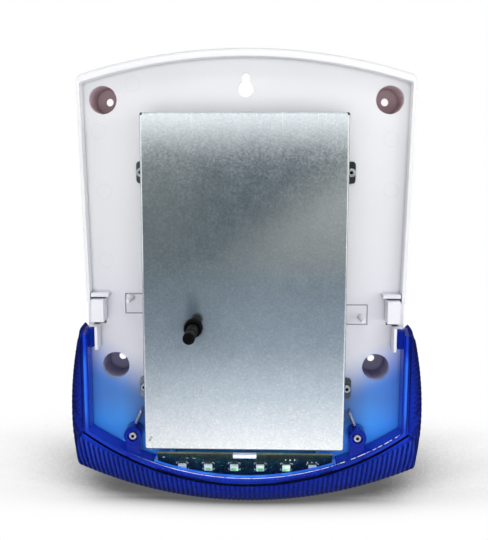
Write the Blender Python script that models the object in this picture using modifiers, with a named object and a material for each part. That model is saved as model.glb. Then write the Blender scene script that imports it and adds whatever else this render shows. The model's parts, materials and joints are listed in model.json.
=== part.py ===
"""Outdoor alarm siren with its front cover off.

Metres, +Z up. The wall is the plane Y = 0 and the siren faces -Y. The origin lies on the wall,
in the middle of the four wall-fixing holes.
"""

import math

import bmesh
import bpy
from mathutils import Matrix, Vector

# Clearances and overlaps
GAP = 0.0003
HOLE_GAP = 0.0003
SLIDE_GAP = 0.0003
ROOT = 0.00125

# Wall fixings
FIXING_Z = 0.0836
FIXING_INSET_TOP = 0.0156
FIXING_INSET_BOTTOM = 0.0170
WELL_MOUTH = 0.0174
WELL_FOOT = 0.0164
WELL_WALL = 0.0018
WELL_FLOOR = 0.0025
FIXING_HOLE = 0.005
KEYHOLE_DROP = 0.0242
KEYHOLE_HEAD = 0.010
KEYHOLE_SLOT = 0.0053
KEYHOLE_RISE = 0.0072

# Tray outline
TRAY_HEAD = 0.0307
TRAY_TOP_RADIUS = 0.340
TRAY_HALF_TOP = 0.1034
TRAY_TAPER = 0.0036
TRAY_LENS_STEP = 0.0004
TRAY_CORNER = 0.004
TRAY_TOP_STEPS = 12
TRAY_BOTTOM_STEPS = 12
CORNER_STEPS = 4

# Tray depths and walls
FLOOR_DEPTH = 0.024
FLOOR_THICK = 0.0025
RIM_HEIGHT = 0.007
RIM_WALL = 0.002
RIM_DRAFT = 0.0003
SHOULDER_DROP = 0.0034
SHOULDER_SIDE = 0.0005
SHOULDER_DEPTH = 0.006
SHOULDER_STEPS = 4
SKIRT_WALL = 0.0025
LIP = 0.0002

# Clip blocks that hold the front cover and the tops of the lens
CLIP_INSET = 0.0078
CLIP_WIDTH = 0.0078
CLIP_ABOVE_LENS = 0.0180
CLIP_HEIGHT = 0.0140
CLIP_RISE = 0.012
CLIP_RIM_DROP = 0.002
CLIP_BACK_WALL = 0.0022
CLIP_BACK_RISE = 0.007
CLIP_BACK_LENGTH = 0.0110
LEDGE_WALL = 0.0013
LEDGE_RISE = 0.009
GUIDE_WALL = 0.0018
GUIDE_RISE = 0.011
GUIDE_LENGTH = 0.0150

# Knock-out outlines with their posts, placed from the steel cover's sides
KNOCK_WIDTH = 0.0135
KNOCK_HEIGHT = 0.0125
KNOCK_LEFT = (0.0085, -0.0431)
KNOCK_RIGHT = (0.0093, -0.0495)
KNOCK_GROOVE = 0.0007
POST_LEFT = (0.0113, -0.0393)
POST_RIGHT = (0.0120, -0.0511)
POST_FOOT = 0.0036
POST_TIP = 0.0024
POST_RISE = 0.015

# Stiffening ribs beside the lens bosses
BRACE_WALL = 0.0014
BRACE_LENGTH = 0.0095
BRACE_RISE = 0.006
BRACE_GAP = 0.0012
BRACE_OUT = 0.0016
BRACE_TURN = math.radians(22)

# Cable entry in the floor
ENTRY_WIDTH = 0.013
ENTRY_HEIGHT = 0.018
ENTRY_CORNER = 0.0032
ENTRY_X = 0.050
ENTRY_Z = 0.060

# Lens
LENS_TOP = -0.057
LENS_OVERHANG = 0.0016
LENS_BELOW_COVER = 0.0309
LENS_GROOVE_RADIUS = 0.172
LENS_INNER_RADIUS = 0.175
LENS_RIM_WIDTH = 0.0052
LENS_RIM_FOOT = 0.0061
LENS_RIM_RISE = 0.0132
LENS_RIM_FALL = 0.0022
LENS_BACK_DEPTH = 0.002
LENS_FLARE_SIDE = 0.0132
LENS_FLARE_BOTTOM = 0.0221
LENS_WIDEST = 0.0395
LENS_BACK_RADIUS_UP = 0.215
LENS_BACK_RADIUS_DOWN = 0.150
LENS_BACK_RADIUS = 0.285
LENS_CORNER_DROP = 0.0103
LENS_RIB_PITCH = 0.0031
LENS_RIB_HEIGHT = 0.00045
LENS_WALL = 0.002
LENS_GROOVE_WIDTH = 0.0008
LENS_GROOVE_DEPTH = 0.0010
LENS_RIDGE = 0.0007
LENS_ROWS = 6
LENS_TIP = 0.0016
LENS_TIP_LENGTH = 0.006
LENS_TIP_DROP = 0.0032
LENS_TIP_FADE = 0.009
TONGUE_WALL = 0.004
TONGUE_LENGTH = 0.012
TONGUE_DEPTH = 0.0115
BOSS_OFFSET = 0.0103
BOSS_ABOVE_GROOVE = 0.0328
BOSS_DIAMETER = 0.0115
BOSS_RISE = 0.013
BOSS_RECESS = 0.0022
WEB_WIDTH = 0.0096
WEB_DROP = 0.0014
WINDOW_GAP = 0.0015
WINDOW_LIP = 0.0042
WINDOW_PAST_WALL = 0.0005

# Screws
SCREW_SHANK = 0.003
SCREW_HEAD = 0.0056
SCREW_HEAD_HEIGHT = 0.0021
SCREW_HEAD_FLAT = 0.0042
SCREW_HEAD_SIDE = 0.0012
SCREW_GRIP = 0.0075
SCREW_SOCKET = 0.002
SCREW_SOCKET_DEPTH = 0.0012
SCREW_BOSS = 0.0068

# Steel cover
COVER_HALF = 0.0609
COVER_TOP = 0.0748
COVER_HEIGHT = 0.2034
COVER_RISE = 0.030
COVER_SHEET = 0.001
COVER_BEND = 0.0013
TAB_WIDTH = 0.0068
TAB_HEIGHT = 0.0135
TAB_CORNER = 0.0017
TAB_UPPER_DROP = 0.0352
TAB_LOWER_RISE = 0.0311
TAB_SCREW_X = 0.0040
SOUND_SLOTS = 7
SOUND_SLOT_WIDTH = 0.003
SOUND_SLOT_LENGTH = 0.014
SOUND_SLOT_PITCH = 0.010
RELIEF_HOLE = 0.0016
RELIEF_INSET = 0.0011

# Tamper plunger
TAMPER_X = -0.0304
TAMPER_BELOW_BOARD = 0.0044
PLUNGER_DIAMETER = 0.0070
PLUNGER_REACH = 0.0290
PLUNGER_TRAVEL = 0.006
PLUNGER_COLLAR = 0.0092
PLUNGER_COLLAR_THICK = 0.002
PLUNGER_STEM = 0.0044
PLUNGER_ENGAGE = 0.0016
PLUNGER_CROWN = 0.0010
PLUNGER_CROWN_STEP = 0.0003
GROMMET_FLANGE = 0.0112
GROMMET_FRONT = 0.0030
GROMMET_BACK = 0.0012
GROMMET_NECK = 0.0090
SWITCH_SIDE = 0.012
SWITCH_FLOOR = 0.0010
SPRING_WIRE = 0.0008
SPRING_TURNS = 4
SPRING_POINTS = 9

# Main board
BOARD_SIDE_GAP = 0.0129
BOARD_TOP_GAP = 0.0015
BOARD_THICK = 0.0016
BOARD_RISE = 0.004
BOARD_HOLE_INSET = 0.004
STANDOFF = 0.0068
STANDOFF_FLOOR = 0.0008
TERMINAL_WIDTH = 0.046
TERMINAL_HEIGHT = 0.010
TERMINAL_RISE = 0.011
TERMINAL_X = 0.012
TERMINAL_EDGE = 0.003
TERMINAL_WAYS = 6
TERMINAL_HOLE = 0.004
TERMINAL_HOLE_DEPTH = 0.004

# Stand-by battery
CELL_DIAMETER = 0.0145
CELL_LENGTH = 0.0286
CELL_COUNT = 6
CELL_OVERLAP = 0.0003
CELL_STEPS = 6
BATTERY_TOP_GAP = 0.0067
BATTERY_FOOT_GAP = 0.0085
STRAP_WIDTH = 0.012
STRAP_THICK = 0.0012
STRAP_SIDE_GAP = 0.001

# Sounder
SIREN_TOP_GAP = 0.0033
SIREN_FLANGE = 0.081
SIREN_FLANGE_THICK = 0.0025
SIREN_EAR = 0.0095
SIREN_HEIGHT = 0.020
SIREN_WALL = 0.0022
SIREN_STEP = 0.003
SIREN_STEP_RISE = 0.010
SIREN_DISC_THICK = 0.0008
SIREN_CAP_THICK = 0.0025
SIREN_CAP_HOLE = 0.022
SIREN_SCREW_INSET = 0.0035
SIREN_SEGMENTS = 32

# Strobe board
STROBE_WIDTH = 0.112
STROBE_HEIGHT = 0.0206
STROBE_THICK = 0.0016
STROBE_BELOW_COVER = 0.0099
STROBE_RISE = 0.011
STROBE_TILT = math.radians(27.6)
STROBE_REST_INSET = 0.009
STROBE_REST_WALL = 0.003
STROBE_REST_LENGTH = 0.0115
LED_PITCH = 0.0168
LED_COUNT = 6
LED_SHIFT = 0.0015
LED_SIDE = 0.0052
LED_RISE = 0.0016
LED_WINDOW = 0.0036
LED_WINDOW_DEPTH = 0.0003
LED_DROP = 0.0116
SOCKET_WIDTH = 0.0148
SOCKET_HEIGHT = 0.0036
SOCKET_RISE = 0.0020
SOCKET_LIFT = 0.0003
SOCKET_WALL = 0.0006
SOCKET_DEPTH = 0.0020

ROUND_SEGMENTS = 24
SMALL_SEGMENTS = 10
MERGE = 1e-6

# Depths that follow from the ones above
FLOOR_Y = -FLOOR_DEPTH
FLOOR_BACK_Y = -(FLOOR_DEPTH - FLOOR_THICK)
SEAT_Y = FLOOR_Y - GAP
LENS_SEAT_Y = FLOOR_Y - LIP - GAP
RIM_Y = FLOOR_Y - RIM_HEIGHT
COVER_DEPTH = FLOOR_DEPTH + COVER_RISE
COVER_INNER_Y = -(COVER_DEPTH - COVER_SHEET)
LENS_RIM_DEPTH = FLOOR_DEPTH + LENS_RIM_RISE
LENS_SKIRT_DEPTH = LENS_RIM_DEPTH - LENS_RIM_FALL
BOSS_DEPTH = FLOOR_DEPTH + BOSS_RISE
STROBE_TOP_DEPTH = FLOOR_DEPTH + STROBE_RISE
BOARD_BACK_Y = FLOOR_Y - BOARD_RISE - GAP
BOARD_FRONT_Y = BOARD_BACK_Y - BOARD_THICK
PLUNGER_TIP_DEPTH = COVER_DEPTH + PLUNGER_REACH
GROMMET_BACK_Y = COVER_INNER_Y + GAP + GROMMET_BACK
COLLAR_FRONT_Y = GROMMET_BACK_Y + GAP
COLLAR_BACK_Y = COLLAR_FRONT_Y + PLUNGER_COLLAR_THICK
SWITCH_BACK_Y = BOARD_FRONT_Y - GAP
SWITCH_RISE = SWITCH_FLOOR + GAP + PLUNGER_TRAVEL + PLUNGER_ENGAGE
SWITCH_FRONT_Y = SWITCH_BACK_Y - SWITCH_RISE
STEM_END_Y = SWITCH_FRONT_Y + PLUNGER_ENGAGE

# Widths and heights that follow from the ones above
TRAY_TOP = FIXING_Z + TRAY_HEAD
TRAY_HALF_CLIP = TRAY_HALF_TOP - TRAY_TAPER
TRAY_HALF_LENS = TRAY_HALF_CLIP + TRAY_LENS_STEP
CLIP_TOP = LENS_TOP + CLIP_ABOVE_LENS
CLIP_FOOT = CLIP_TOP - CLIP_HEIGHT
CLIP_X = TRAY_HALF_CLIP - CLIP_INSET
TRAY_CLIP_Z = CLIP_TOP - CLIP_RIM_DROP
FIXING_X_TOP = TRAY_HALF_TOP - FIXING_INSET_TOP
FIXING_X_BOTTOM = TRAY_HALF_LENS - FIXING_INSET_BOTTOM
KEYHOLE_Z = TRAY_TOP - KEYHOLE_DROP
COVER_BOTTOM = COVER_TOP - COVER_HEIGHT
TAB_UPPER_Z = COVER_TOP - TAB_UPPER_DROP
TAB_LOWER_Z = COVER_BOTTOM + TAB_LOWER_RISE
LENS_INNER_HALF = TRAY_HALF_LENS - LENS_OVERHANG
LENS_HALF = LENS_INNER_HALF + LENS_RIM_WIDTH
LENS_BACK_HALF = LENS_HALF + LENS_FLARE_SIDE
LENS_GROOVE_BOTTOM = COVER_BOTTOM - LENS_BELOW_COVER
LENS_BACK_BOTTOM = LENS_GROOVE_BOTTOM - LENS_FLARE_BOTTOM
LENS_WIDEST_Z = LENS_GROOVE_BOTTOM + LENS_WIDEST
LENS_INNER_BOTTOM = LENS_GROOVE_BOTTOM + LENS_RIM_FOOT
TRAY_BOTTOM_RADIUS = LENS_INNER_RADIUS + LENS_OVERHANG
BOSS_X = COVER_HALF + BOSS_OFFSET
BOSS_Z = LENS_GROOVE_BOTTOM + BOSS_ABOVE_GROOVE
SIREN_Z = COVER_TOP - SIREN_TOP_GAP - SIREN_FLANGE / 2
SIREN_BODY = SIREN_FLANGE - 2 * SIREN_EAR
SIREN_SCREW_RADIUS = SIREN_FLANGE / 2 - SIREN_SCREW_INSET
BOARD_WIDTH = 2 * (COVER_HALF - BOARD_SIDE_GAP)
BOARD_TOP_Z = SIREN_Z - SIREN_FLANGE / 2 - BOARD_TOP_GAP
BATTERY_Z = COVER_BOTTOM + BATTERY_FOOT_GAP + CELL_LENGTH / 2
BOARD_BOTTOM_Z = BATTERY_Z + CELL_LENGTH / 2 + BATTERY_TOP_GAP
BOARD_HEIGHT = BOARD_TOP_Z - BOARD_BOTTOM_Z
BOARD_Z = (BOARD_TOP_Z + BOARD_BOTTOM_Z) / 2
TAMPER_Z = BOARD_Z - TAMPER_BELOW_BOARD
SPRING_RADIUS = (PLUNGER_STEM + PLUNGER_COLLAR) / 4
STROBE_TOP_Z = COVER_BOTTOM - STROBE_BELOW_COVER
STROBE_REST_X = STROBE_WIDTH / 2 - STROBE_REST_INSET
WINDOW_HALF = STROBE_WIDTH / 2 + WINDOW_GAP


def new_collection(name):
    """Collection linked to the scene."""
    made = bpy.data.collections.new(name)
    bpy.context.scene.collection.children.link(made)
    return made


def clear_scene():
    """Removes what the file starts with."""
    for old in list(bpy.data.objects):
        bpy.data.objects.remove(old, do_unlink=True)


clear_scene()
PARTS = new_collection("alarm_siren")
CUTTERS = new_collection("cutters")


def finish(name, colour, roughness, metallic=0.0):
    """Principled material with one colour."""
    made = bpy.data.materials.new(name)
    made.use_nodes = True
    shader = made.node_tree.nodes["Principled BSDF"]
    shader.inputs["Base Color"].default_value = (*colour, 1.0)
    shader.inputs["Roughness"].default_value = roughness
    shader.inputs["Metallic"].default_value = metallic
    return made


WHITE_PLASTIC = finish("white_plastic", (0.86, 0.86, 0.88), 0.45)
BLUE_LENS = finish("blue_lens", (0.01, 0.04, 0.62), 0.15)
ZINC_STEEL = finish("zinc_steel", (0.62, 0.66, 0.67), 0.35, 1.0)
SCREW_STEEL = finish("screw_steel", (0.70, 0.70, 0.68), 0.30, 1.0)
BLACK_RUBBER = finish("black_rubber", (0.02, 0.02, 0.022), 0.60)
SWITCH_PLASTIC = finish("switch_plastic", (0.05, 0.05, 0.05), 0.40)
SPRING_STEEL = finish("spring_steel", (0.55, 0.55, 0.56), 0.30, 1.0)
BOARD_GREEN = finish("board_green", (0.01, 0.07, 0.04), 0.40)
LED_WHITE = finish("led_white", (0.80, 0.84, 0.74), 0.50)
SOCKET_WHITE = finish("socket_white", (0.82, 0.83, 0.86), 0.45)
TERMINAL_GREEN = finish("terminal_green", (0.05, 0.30, 0.12), 0.45)
BATTERY_WRAP = finish("battery_wrap", (0.05, 0.16, 0.30), 0.35)
SIREN_BLACK = finish("siren_black", (0.03, 0.03, 0.03), 0.50)
DISC_BRASS = finish("disc_brass", (0.60, 0.45, 0.18), 0.35, 1.0)


def new_object(name, bm, collection):
    """Object from a bmesh with every face pointing out."""
    bmesh.ops.recalc_face_normals(bm, faces=bm.faces[:])
    mesh = bpy.data.meshes.new(name)
    bm.to_mesh(mesh)
    bm.free()
    made = bpy.data.objects.new(name, mesh)
    collection.objects.link(made)
    return made


def part(name, bm, material):
    """Sub-part with its own material."""
    made = new_object(name, bm, PARTS)
    made.data.materials.append(material)
    return made


def cutter(name, bm):
    """Helper solid that only shapes other pieces."""
    made = new_object(name, bm, CUTTERS)
    made.hide_render = True
    made.display_type = "WIRE"
    return made


def combine(target, helper, operation):
    """Boolean of a helper into a sub-part."""
    modifier = target.modifiers.new(helper.name, "BOOLEAN")
    modifier.object = helper
    modifier.operation = operation
    modifier.solver = "EXACT"


def add_box(bm, low, high):
    """Box between two corners."""
    low = Vector(low)
    high = Vector(high)
    size = Matrix.Diagonal((*(high - low), 1.0))
    bmesh.ops.create_cube(bm, size=1.0, matrix=Matrix.Translation((low + high) / 2) @ size)


def add_rod(bm, x, z, back, front, back_diameter, front_diameter=None, segments=ROUND_SEGMENTS):
    """Round bar or cone along Y, from its back end to its front end."""
    turn = Matrix.Rotation(math.radians(90), 4, "X")
    place = Matrix.Translation((x, (back + front) / 2, z))
    bmesh.ops.create_cone(
        bm,
        cap_ends=True,
        segments=segments,
        radius1=back_diameter / 2,
        radius2=(front_diameter or back_diameter) / 2,
        depth=back - front,
        matrix=place @ turn,
    )


def add_loft(bm, rings):
    """Closed skin over rings of equal length, with a flat cap at each end."""
    verts = [[bm.verts.new(point) for point in ring] for ring in rings]
    count = len(rings[0])
    for near, far in zip(verts, verts[1:]):
        for i in range(count):
            j = (i + 1) % count
            bm.faces.new((near[i], near[j], far[j], far[i]))
    bm.faces.new(verts[0])
    bm.faces.new(verts[-1][::-1])


def add_prism_y(bm, outline, back, front):
    """Straight prism along Y over an (x, z) outline."""
    add_loft(bm, [[(x, y, z) for x, z in outline] for y in (back, front)])


def turned(name, profile, material, place, segments=ROUND_SEGMENTS, closed=False):
    """Piece turned about an axis along Y; profile points are (radius, distance towards the front)."""
    bm = bmesh.new()
    verts = [bm.verts.new((radius, 0.0, height)) for radius, height in profile]
    pairs = list(zip(verts, verts[1:]))
    if closed:
        pairs.append((verts[-1], verts[0]))
    for pair in pairs:
        bm.edges.new(pair)
    mesh = bpy.data.meshes.new(name)
    bm.to_mesh(mesh)
    bm.free()
    made = bpy.data.objects.new(name, mesh)
    PARTS.objects.link(made)
    made.data.materials.append(material)
    made.location = place
    made.rotation_euler = (math.radians(90), 0.0, 0.0)
    spin = made.modifiers.new("turn", "SCREW")
    spin.axis = "Z"
    spin.angle = math.radians(360)
    spin.steps = segments
    spin.render_steps = segments
    spin.use_merge_vertices = True
    spin.merge_threshold = 1e-5
    spin.use_smooth_shade = False
    return made


def rounded(points, radii, steps=CORNER_STEPS):
    """Outline whose listed corners become arcs; radii maps a corner's index to its radius."""
    result = []
    for i, point in enumerate(points):
        if i not in radii:
            result.append(tuple(point))
            continue
        corner = Vector(point)
        back = Vector(points[i - 1]) - corner
        ahead = Vector(points[(i + 1) % len(points)]) - corner
        half = back.angle(ahead) / 2
        reach = min(radii[i] / math.tan(half), 0.9 * back.length, 0.9 * ahead.length)
        radius = reach * math.tan(half)
        start = corner + back.normalized() * reach
        end = corner + ahead.normalized() * reach
        centre = corner + (back.normalized() + ahead.normalized()).normalized() * (radius / math.sin(half))
        first = start - centre
        sweep = first.angle_signed(end - centre)
        for step in range(steps + 1):
            turn = Matrix.Rotation(-sweep * step / steps, 2)
            result.append(tuple(centre + turn @ first))
    return result


def box_outline(centre, width, height, radius):
    """Rectangle with round corners in the XZ plane."""
    x, z = centre
    corners = [
        (x - width / 2, z - height / 2),
        (x + width / 2, z - height / 2),
        (x + width / 2, z + height / 2),
        (x - width / 2, z + height / 2),
    ]
    return rounded(corners, {i: radius for i in range(4)})


def arc_drop(radius, x):
    """How far a circle of this radius falls away from its crown at x."""
    return radius - math.sqrt(radius * radius - x * x)


def tray_half_outline(top_inset, side_inset, bottom_inset):
    """Right half of the tray's outline, from its crown to its lowest point, and its corners' indices."""
    top_radius = TRAY_TOP_RADIUS - top_inset
    top_centre = TRAY_TOP - TRAY_TOP_RADIUS
    bottom_radius = TRAY_BOTTOM_RADIUS - bottom_inset
    taper = (TRAY_HALF_TOP - TRAY_HALF_CLIP) / (TRAY_TOP - TRAY_CLIP_Z)
    corner_x = TRAY_HALF_TOP - side_inset
    corner_z = TRAY_TOP
    for _ in range(8):
        corner_z = top_centre + math.sqrt(top_radius**2 - corner_x**2)
        corner_x = TRAY_HALF_CLIP - side_inset + taper * (corner_z - TRAY_CLIP_Z)
    top = []
    for i in range(TRAY_TOP_STEPS):
        x = corner_x * i / TRAY_TOP_STEPS
        top.append((x, top_centre + math.sqrt(top_radius**2 - x * x)))
    side = [
        (corner_x, corner_z),
        (TRAY_HALF_CLIP - side_inset, TRAY_CLIP_Z),
        (TRAY_HALF_LENS - side_inset, LENS_TOP),
    ]
    low_x = TRAY_HALF_LENS - side_inset
    bottom = []
    for i in range(TRAY_BOTTOM_STEPS, -1, -1):
        x = low_x * i / TRAY_BOTTOM_STEPS
        bottom.append((x, LENS_INNER_BOTTOM + LENS_INNER_RADIUS - math.sqrt(bottom_radius**2 - x * x)))
    return top + side + bottom, (len(top), len(top) + len(side))


def tray_outline(top_inset, side_inset, bottom_inset):
    """Whole outline of the tray, clockwise from the crown."""
    right, corners = tray_half_outline(top_inset, side_inset, bottom_inset)
    left = [(-x, z) for x, z in right[1:-1]][::-1]
    count = len(right) + len(left)
    radius = max(TRAY_CORNER - side_inset, TRAY_CORNER / 4)
    radii = {}
    for i in corners:
        radii[i] = radius
        radii[count - i] = radius
    return rounded(right + left, radii)


def tray_ring(y, top_inset=0.0, side_inset=0.0, bottom_inset=0.0):
    """Ring of the tray's outline at one depth."""
    return [(x, y, z) for x, z in tray_outline(top_inset, side_inset, bottom_inset)]


def tray_body():
    """Skirt, rounded shoulder, rim and floor of the tray in one loft."""
    rings = [tray_ring(0.0)]
    for step in range(SHOULDER_STEPS + 1):
        turn = math.radians(90) * step / SHOULDER_STEPS
        ease = 1 - math.cos(turn)
        y = RIM_Y + SHOULDER_DEPTH * (1 - math.sin(turn))
        rings.append(tray_ring(y, SHOULDER_DROP * ease, SHOULDER_SIDE * ease))
    top = SHOULDER_DROP + RIM_WALL
    side = SHOULDER_SIDE + RIM_WALL
    rings.append(tray_ring(RIM_Y, top, side, RIM_WALL))
    rings.append(tray_ring(FLOOR_Y, top + RIM_DRAFT, side + RIM_DRAFT, RIM_WALL + RIM_DRAFT))
    rear = [
        tray_ring(FLOOR_BACK_Y, SKIRT_WALL, SKIRT_WALL, SKIRT_WALL),
        tray_ring(0.0, SKIRT_WALL, SKIRT_WALL, SKIRT_WALL),
    ]
    bm = bmesh.new()
    add_loft(bm, rear + rings)
    return part("base", bm, WHITE_PLASTIC)


def fixings():
    """Places of the four wall-fixing wells."""
    return [
        (-FIXING_X_TOP, FIXING_Z),
        (FIXING_X_TOP, FIXING_Z),
        (-FIXING_X_BOTTOM, -FIXING_Z),
        (FIXING_X_BOTTOM, -FIXING_Z),
    ]


def tab_screws():
    """Places of the steel cover's screws, by corner name."""
    x = COVER_HALF + TAB_SCREW_X
    return {
        "upper_left": (-x, TAB_UPPER_Z),
        "upper_right": (x, TAB_UPPER_Z),
        "lower_left": (-x, TAB_LOWER_Z),
        "lower_right": (x, TAB_LOWER_Z),
    }


def beside_cover(place, side):
    """Point at a distance from the steel cover's side; place holds that distance and the height."""
    return side * (COVER_HALF + place[0]), place[1]


def knock_outs():
    """Middles of the two knock-outs."""
    return [beside_cover(KNOCK_LEFT, -1), beside_cover(KNOCK_RIGHT, 1)]


def posts():
    """Places of the two posts."""
    return [beside_cover(POST_LEFT, -1), beside_cover(POST_RIGHT, 1)]


def board_screws():
    """Places of the main board's four screws."""
    x = BOARD_WIDTH / 2 - BOARD_HOLE_INSET
    z = BOARD_HEIGHT / 2 - BOARD_HOLE_INSET
    return [(sx * x, BOARD_Z + sz * z) for sz in (1, -1) for sx in (-1, 1)]


def battery_half_width():
    """Half the width of the row of cells."""
    return (CELL_DIAMETER + (CELL_COUNT - 1) * (CELL_DIAMETER - CELL_OVERLAP)) / 2


def strap_side():
    """Distance of the strap's outer side from the middle."""
    return battery_half_width() + GAP + STRAP_THICK


def strap_end():
    """Distance of the strap's end from the middle, just inside the steel cover."""
    return COVER_HALF - COVER_SHEET - STRAP_SIDE_GAP


def strap_screw_x():
    """Distance of the strap's screws from the middle."""
    return (strap_side() + strap_end()) / 2


def floor_screws():
    """Places of every screw that goes into the floor from the front."""
    places = list(tab_screws().values())
    places += [(side * BOSS_X, BOSS_Z) for side in (-1, 1)]
    places += [(side * SIREN_SCREW_RADIUS, SIREN_Z) for side in (-1, 1)]
    places += [(side * strap_screw_x(), BATTERY_Z) for side in (-1, 1)]
    return places


def wedge(bm, x):
    """Rest under the strobe board, from the floor to the board's back."""
    down = Vector((0.0, math.sin(STROBE_TILT), -math.cos(STROBE_TILT)))
    back = Vector((0.0, math.cos(STROBE_TILT), math.sin(STROBE_TILT)))
    head = Vector((0.0, -STROBE_TOP_DEPTH, STROBE_TOP_Z)) + back * (STROBE_THICK + GAP)
    low = head + down * STROBE_REST_LENGTH
    section = [
        (head.y, head.z),
        (low.y, low.z),
        (FLOOR_Y + ROOT, low.z),
        (FLOOR_Y + ROOT, head.z),
    ]
    half = STROBE_REST_WALL / 2
    add_loft(bm, [[(x + shift, y, z) for y, z in section] for shift in (-half, half)])


def brace(bm, side):
    """Short slanting rib on the floor beside a lens boss."""
    rise = BOSS_DIAMETER / 2 + BRACE_LENGTH / 2 + BRACE_GAP
    turn = Matrix.Rotation(-side * BRACE_TURN, 4, "Y")
    foot = Vector((side * (BOSS_X + BRACE_OUT), FLOOR_Y - BRACE_RISE / 2, BOSS_Z))
    centre = foot + turn @ Vector((0.0, 0.0, rise))
    size = Matrix.Diagonal((BRACE_WALL, BRACE_RISE + 2 * ROOT, BRACE_LENGTH, 1.0))
    bmesh.ops.create_cube(bm, size=1.0, matrix=Matrix.Translation(centre) @ turn @ size)


def clip_group(bm, side):
    """Clip block, its back wall, the ledge over the lens tongue and the tongue's guide."""
    root = FLOOR_Y + ROOT
    inner = CLIP_X - CLIP_WIDTH / 2
    outer = CLIP_X + CLIP_WIDTH / 2
    guide_x = LENS_INNER_HALF - TONGUE_WALL - GAP - GUIDE_WALL
    ledge_top = LENS_TOP + GAP + LEDGE_WALL
    boxes = [
        (inner, outer, root, FLOOR_Y - CLIP_RISE, CLIP_FOOT, CLIP_TOP),
        (
            TRAY_HALF_CLIP - RIM_WALL * 1.5 - CLIP_BACK_LENGTH,
            TRAY_HALF_CLIP - RIM_WALL * 1.5,
            root,
            FLOOR_Y - CLIP_BACK_RISE,
            CLIP_TOP + CLIP_BACK_WALL / 2,
            CLIP_TOP + CLIP_BACK_WALL * 1.5,
        ),
        (guide_x, TRAY_HALF_CLIP - RIM_WALL, root, FLOOR_Y - LEDGE_RISE, LENS_TOP + GAP, ledge_top),
        (
            guide_x,
            guide_x + GUIDE_WALL,
            root,
            FLOOR_Y - GUIDE_RISE,
            ledge_top - LEDGE_WALL / 2 - GUIDE_LENGTH,
            ledge_top - LEDGE_WALL / 2,
        ),
    ]
    for x0, x1, back, front, z0, z1 in boxes:
        xs = sorted((side * x0, side * x1))
        add_box(bm, (xs[0], front, z0), (xs[1], back, z1))


def knock_out(bm, centre):
    """Ring that leaves a rectangular groove in the floor."""
    half_w = KNOCK_WIDTH / 2
    half_h = KNOCK_HEIGHT / 2
    x, z = centre
    front = FLOOR_Y - KNOCK_GROOVE
    back = FLOOR_Y + KNOCK_GROOVE
    for dz in (-half_h, half_h):
        add_box(
            bm,
            (x - half_w - KNOCK_GROOVE / 2, front, z + dz - KNOCK_GROOVE / 2),
            (x + half_w + KNOCK_GROOVE / 2, back, z + dz + KNOCK_GROOVE / 2),
        )


def knock_sides(bm, centre):
    """Upright grooves of a knock-out."""
    half_w = KNOCK_WIDTH / 2
    half_h = KNOCK_HEIGHT / 2
    x, z = centre
    for dx in (-half_w, half_w):
        add_box(
            bm,
            (x + dx - KNOCK_GROOVE / 2, FLOOR_Y - KNOCK_GROOVE, z - half_h),
            (x + dx + KNOCK_GROOVE / 2, FLOOR_Y + KNOCK_GROOVE, z + half_h),
        )


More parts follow.
